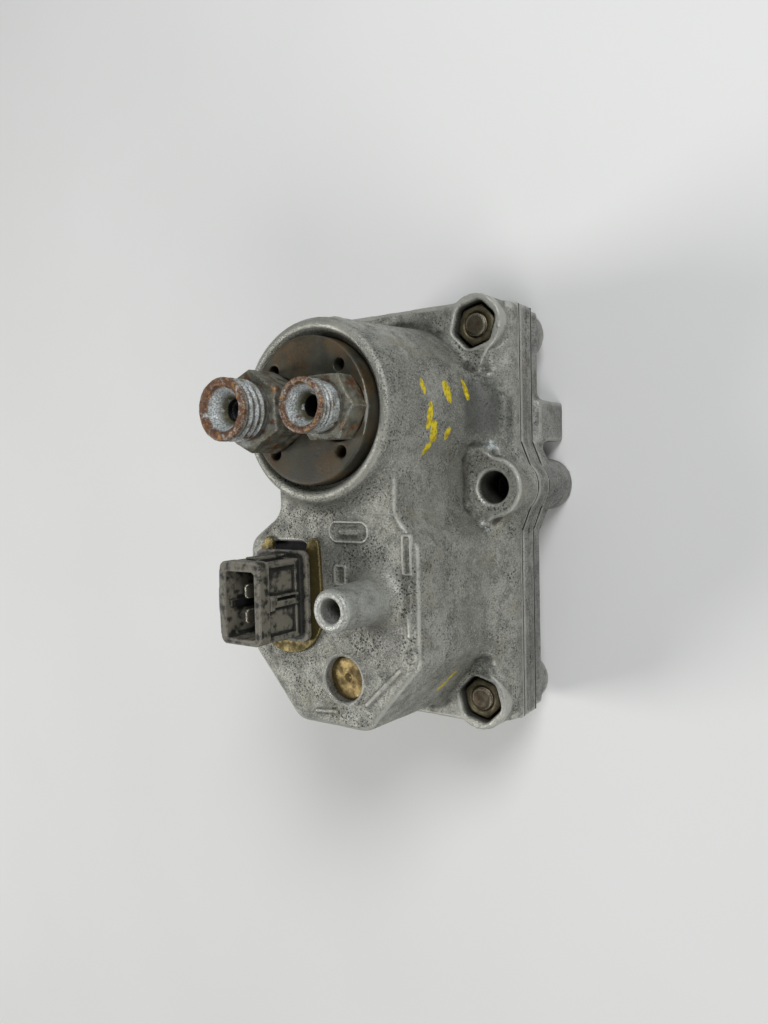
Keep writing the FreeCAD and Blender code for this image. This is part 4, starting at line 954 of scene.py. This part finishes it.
def make_screw(name, finish):
    node = "flange_screw_" + name
    centre, low, high = middle_of(node), low_of(node)[2], high_of(node)[2]
    field = field_of(node, 0.14)
    x, y, z, radius = about(field, centre)
    head = overlap(radius - HEAD_RADIUS, slab(z, low, low + HEAD_HIGH), 0.6)
    head = without(head, np.maximum(np.abs(y) - HEAD_SLOT / 2, z - low - 1.4), 0.12)
    relief = 0.42 * thread_depth(x, y, z, PITCH) * ramp(z - high + 8, 0, 0.6)
    shank = overlap(radius - CREST + relief, slab(z, low + 1, high), 0.35)
    field.values = (union(head, shank, 0.25) + 0.02 * lumps(field, 0.8)).astype(np.float32)
    settle(piece_from("corner_screw_" + name, field, reach=0.3), finish, "zinc_yellow", node)


# ---- connector

def make_connector():
    node = "connector_housing"
    field = field_of(node, 0.13)
    x, y, z = field.axes()
    u, v = x - HOOD[0], y - HOOD[1]
    top, flange_low, flange_high, band_low = HOOD_TOP, 58.5, 59.8, COLLAR_LOW
    bow = 0.25 * ramp(v, 0, 4.0) * (1 - (u / 8.0) ** 2)

    def around(half_x, half_y, bottom, ceiling, corner):
        return block(u, v, z, (-half_x, -half_y, bottom), (half_x, half_y, ceiling), corner)

    def bar(first, second, corner):
        return block(u, v, z, np.minimum(first, second), np.maximum(first, second), corner)

    hood = around(7.5, 4.55, flange_high - 0.5, top, 1.1)
    band = around(8.25, 5.25, band_low, top, 1.5)
    foot = around(8.0, 5.05, flange_high - 0.5, flange_high + 1.3, 1.2)
    body = union(union(hood, band - bow, 0.25), foot, 0.25)
    for side in (-1, 1):
        for face in (-1, 1):
            inner = (side * 6.7, face * 3.4, flange_high - 0.5)
            outer = (side * 8.0, face * 5.05, band_low + 0.3)
            body = union(body, bar(inner, outer, 0.45), 0.2)
    for face in (-1, 1):
        stem = bar((-1.15, 0, flange_high - 0.5), (1.15, face * 5.25, band_low - 0.3), 0.2)
        groove = bar((0.1, face * 4.5, flange_high + 1.4), (0.75, face * 6, band_low - 2.2), 0.1)
        cap = bar((-1.7, 0, band_low - 1.5), (1.3, face * 5.3, band_low - 0.15), 0.2)
        body = union(body, union(without(stem, groove, 0.1), cap, 0.15), 0.15)
    rib = bar((7.0, -1.5, flange_high - 0.5), (8.75, 1.5, band_low - 0.6), 0.3)
    body = union(body, rib, 0.2)
    flange = around(9.45, 6.95, flange_low, flange_high, 1.8)
    body = union(body, overlap(flange, slab(z, flange_low, flange_high), 0.35), 0.3)
    body = union(body, around(6.7, 4.0, 55.6, flange_low + 0.3, 0.4))
    body = union(body, around(6.7, 4.8, 55.75, 56.9, 0.4))
    body = union(body, around(6.5, 3.8, low_of(node)[2], 56.0, 0.4))
    cavity = block(x, y, z, (-22.4, 6.6, 60.6), (-9.2, 14.2, top + 1), 0.8)
    cavity = without(cavity, block(x, y, z, (-16.4, 13.1, 60), (-15.2, 15, top - 1.2), 0.2), 0.15)
    body = without(body, cavity, 0.3)
    for side in (-1, 1):
        blade = BLADES_X + side * 2.5
        slit = block(x, y, z, (blade - 1.42, 10.28, 50), (blade + 1.42, 11.12, 61), 0.05)
        body = without(body, slit)
    field.values = (body + 0.02 * lumps(field, 2.0) + 0.012 * lumps(field, 0.7)).astype(np.float32)
    piece = piece_from("connector_hood", field, reach=0.35)
    settle(piece, dusty_plastic(), "connector_plastic", node)


def make_blade(side, finish):
    node = "terminal_blade_" + side
    low, high = low_of(node), high_of(node)
    field = field_of(node, 0.09)
    x, y, z = field.axes()
    u, v = x - (low[0] + high[0]) / 2, y - (low[1] + high[1]) / 2
    body = overlap(np.abs(u) - 1.4, np.abs(v) - 0.4, 0.08)
    body = overlap(body, slab(z, low[2], high[2]), 0.1)
    body = overlap(body, np.abs(v) * 0.9 + (z - high[2]) * 0.42 - 0.16, 0.1)
    body = overlap(body, np.abs(u) * 0.62 + (z - high[2]) * 0.78 - 0.62, 0.15)
    hole = np.maximum(np.hypot(u, z - high[2] + 3.6) - 0.5, np.abs(v) - 1)
    field.values = without(body, hole, 0.08).astype(np.float32)
    settle(piece_from("blade_" + side, field, reach=0.2), finish, "tinned_brass", node)


CLIP_ROUND = 9.1
# past the end and across, from the middle of the clip, and radius
CLIP_TIPS = ((-1.35, -7.15, 1.35), (-1.25, 5.05, 1.25))


def make_clip():
    """A flat U of spring sheet, with inward hooks at its open ends."""
    node = "connector_clip"
    low, high = low_of(node), high_of(node)
    field = field_of(node, 0.13)
    x, y, z = field.axes()
    v = y - (low[1] + high[1]) / 2
    round_x = low[0] + CLIP_ROUND
    share = ramp(x, round_x, high[0])
    front, rear = CLIP_ROUND - 0.6 * share ** 2, CLIP_ROUND - 2.8 * share ** 2
    bend, arms = np.hypot(x - round_x, v) - CLIP_ROUND, np.maximum(-v - front, v - rear)
    outline = np.where(x < round_x, bend, arms)
    outline = overlap(outline, x - high[0], 0.5)
    spread = ramp(x + 8.0, 0, 3.5)
    gap = np.maximum(np.maximum(-v - 4.15 - 1.65 * spread, v - 4.15 + 0.35 * spread), -22.3 - x)
    outline = without(outline, gap, 0.5)
    tips = np.minimum(*(np.hypot(x - high[0] - run, v - off) - tip for run, off, tip in CLIP_TIPS))
    outline = np.where(x > high[0] - 1.3, np.maximum(outline, tips), outline)
    plate = overlap(outline, slab(z, low[2], high[2] - 0.25), 0.3)
    field.values = (plate + 0.025 * lumps(field, 3.0)).astype(np.float32)
    finish = stained_brass("clip_sheet", (0.125, 0.098, 0.034), (0.055, 0.042, 0.018), 0.45, 0.45)
    settle(piece_from("retaining_clip", field, reach=0.3), finish, "clip_steel", node)


def make_plug():
    """The brass post whose dished head shows in the round hole."""
    node = "bimetal_post"
    field = rounded_off(filled_corners(node, field_of(node, 0.13), 0.2), 0.22)
    field.values = field.values + 0.03 * lumps(field, 1.6)
    finish = stained_brass("plug_brass", (0.215, 0.158, 0.062), (0.055, 0.03, 0.012), 0.6, 0.45)
    settle(piece_from("adjusting_post", field, reach=0.3), finish, "brass", node)


# ---- inner CAD pieces

WEB_INNER, WEB_OUTER = 13.1, 16.8
WEB_SIDES = 96


def make_diaphragm():
    """The diaphragm: a clamped flat sheet, and a round web that follows the plates."""
    node, centre = "vacuum_diaphragm", middle_of("diaphragm_rivet")
    cloth = soft_black("rubber_fabric", (0.026, 0.026, 0.025), weave=9.0)
    field = field_of(node, 0.2)
    field = read_grid(cad_grid(node, field.step, 4 * field.step), field)
    x, y, z = field.axes()
    field.values = np.maximum(field.values, WEB_OUTER + 0.2 - np.hypot(x - centre[0], y - centre[1]))
    sheet = piece_from("diaphragm_sheet", kept_within(field, node))
    settle(sheet, cloth, "rubber_fabric", node)

    radii = np.concatenate([[1.55, 7.0], np.linspace(WEB_INNER, WEB_OUTER, 15), [WEB_OUTER + 0.2]])
    low, high = low_of(node)[2], high_of(node)[2]
    profile = [(r, high) for r in radii] + [(r, low) for r in radii[::-1]]
    points = [(centre[0] + r * math.cos(a), centre[1] + r * math.sin(a), z)
              for a in np.arange(WEB_SIDES) * 2 * math.pi / WEB_SIDES for r, z in profile]
    count = len(profile)
    faces = []
    for i, j in np.ndindex(WEB_SIDES, count):
        here, there, after = i * count, (i + 1) % WEB_SIDES * count, (j + 1) % count
        faces.append((here + j, there + j, there + after, here + after))
    mesh = bpy.data.meshes.new("diaphragm_web")
    mesh.from_pydata((np.array(points) * MM).tolist(), [], [face[::-1] for face in faces])
    web = add_object("diaphragm_web", mesh)
    mesh.materials.append(cloth)
    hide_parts(node)
    start = tuple((centre + (WEB_INNER, 0, 0)) * MM)
    end = tuple((centre + (WEB_OUTER, 0, 0)) * MM)
    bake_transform(web, "vacuum_plates", "housing", start=start, end=end)
    away = np.array([math.hypot(x - centre[0], y - centre[1]) for x, y, z in points])
    share = ramp(away, WEB_INNER, WEB_OUTER)
    weights = (share * share * (3 - 2 * share)).astype(np.float32)
    mesh.attributes["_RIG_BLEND"].data.foreach_set("value", weights)


def make_inner_spring():
    """The spring on the plates, which moves with them."""
    node = "inner_spring"
    low, high = low_of(node), high_of(node)
    spring = add_object("inner_coil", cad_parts[node].data.copy())
    finish = plain_metal("inner_spring_steel", (0.30, 0.31, 0.33), 0.3)
    settle(spring, finish, "spring_steel", node, body="vacuum_plates")
    foot = middle_of(node)
    foot[2] = low[2]
    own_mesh(spring)


def dress_inner_pieces():
    """Materials for the CAD nodes that stay as they are."""
    dressed = [
        (plain_metal("bright_steel", (0.55, 0.55, 0.54)),
         ["fuel_diaphragm", "push_pin", "spring_cup", "diaphragm_upper_plate", "diaphragm_lower_plate",
          "diaphragm_rivet", "bimetal_clamp"]),
        (plain_metal("spring_steel", (0.30, 0.31, 0.33), 0.3), ["inlet_filter", "outer_spring"]),
        (plain_metal("clean_brass", (0.62, 0.46, 0.20), 0.3),
         ["lower_stop", "contact_strap_left", "contact_strap_right"]),
        (plain_metal("copper", (0.62, 0.33, 0.20), 0.4), ["inlet_seal", "return_seal"]),
        (plain_metal("bimetal", (0.50, 0.46, 0.38), 0.35, (0.15, 1, 1)), ["bimetal_strip"]),
        (plain_metal("heater_wire", (0.42, 0.40, 0.36), 0.4, (1, 0.2, 1)), ["heater_winding"]),
        (soft_black("seal_rubber", (0.022, 0.022, 0.022)), ["valve_body_seal", "connector_seal"]),
        (soft_black("gasket_paper", (0.030, 0.028, 0.024)), ["housing_gasket"]),
        (insulating_mica(), ["heater_sleeve"]),
    ]
    for material, node in [(material, node) for material, nodes in dressed for node in nodes]:
        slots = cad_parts[node].data.materials
        for index in range(len(slots)):
            slots[index] = material
        if not len(slots):
            slots.append(material)


# ---- stage

TABLE_HALF, TABLE_TOP = 2.0, -0.05 * MM
LAMPS = [
    # place, width, watts, colour
    ((-0.16, 0.55, 0.52), 0.3, 2.7, (1.0, 0.985, 0.96)),
    ((0.36, -0.28, 0.44), 0.25, 2.4, (0.97, 0.98, 1.0)),
    ((-0.42, -0.40, 0.40), 0.4, 1.7, (1.0, 0.99, 0.97)),
]
LAMP_TARGET = Vector((0, 0, 0.03))
LENS, SENSOR = 27.851, 36.0
CAMERA_PLACE = (0.009661, -0.100284, 0.181926)
CAMERA_RIGHT = Vector((-0.023377, -0.823418, -0.566954))
CAMERA_UP = Vector((0.998440, 0.009539, -0.055022))


def make_stage():
    corners = [(TABLE_HALF * x, TABLE_HALF * y, TABLE_TOP) for x, y in ((-1, -1), (1, -1), (1, 1), (-1, 1))]
    mesh = bpy.data.meshes.new("table")
    mesh.from_pydata(corners, [], [(0, 1, 2, 3)])
    table = add_object("table", mesh)
    paper = Finish("table_paper", roughness=0.85, specular=0.2)
    paper.raise_by((paper.noise(0.5, 3), 0.01))
    paper.colour = paper.mix(paper.noise(60, 2), (0.70, 0.705, 0.69), (0.74, 0.745, 0.735))
    mesh.materials.append(paper.finish())
    world = bpy.data.worlds.new("studio")
    world.use_nodes = True
    world.node_tree.nodes["Background"].inputs["Color"].default_value = (0.92, 0.96, 1.0, 1)
    world.node_tree.nodes["Background"].inputs["Strength"].default_value = 0.14
    bpy.context.scene.world = world
    for index, (place, width, watts, tint) in enumerate(LAMPS):
        light = bpy.data.lights.new("lamp_%d" % index, "AREA")
        light.shape, light.size, light.energy, light.color = "DISK", width, watts, tint
        lamp = add_object("lamp_%d" % index, light)
        lamp.location = place
        lamp.rotation_mode = "QUATERNION"
        lamp.rotation_quaternion = (LAMP_TARGET - Vector(place)).to_track_quat("-Z", "Y")
    bpy.context.scene.view_settings.view_transform = "Standard"


def make_camera():
    data = bpy.data.cameras.new("camera")
    data.lens, data.sensor_width = LENS, SENSOR
    camera = add_object("camera", data)
    back = CAMERA_RIGHT.cross(CAMERA_UP).normalized()
    up = back.cross(CAMERA_RIGHT).normalized()
    turn = Matrix((CAMERA_RIGHT.normalized(), up, back)).transposed()
    camera.matrix_world = Matrix.Translation(CAMERA_PLACE) @ turn.to_4x4()
    data.clip_start, data.clip_end = 0.01, 20
    bpy.context.scene.camera = camera


# ---- build

make_castings()
make_disc()
for union_name in UNIONS:
    make_union(union_name)
make_fasteners()
make_connector()
blade_finish = stained_brass("blade_tin", (0.15, 0.14, 0.11), (0.06, 0.05, 0.035), 0.5, 0.4)
for blade_side in ("left", "right"):
    make_blade(blade_side, blade_finish)
make_clip()
make_plug()
make_diaphragm()
make_inner_spring()
dress_inner_pieces()
make_stage()
make_camera()
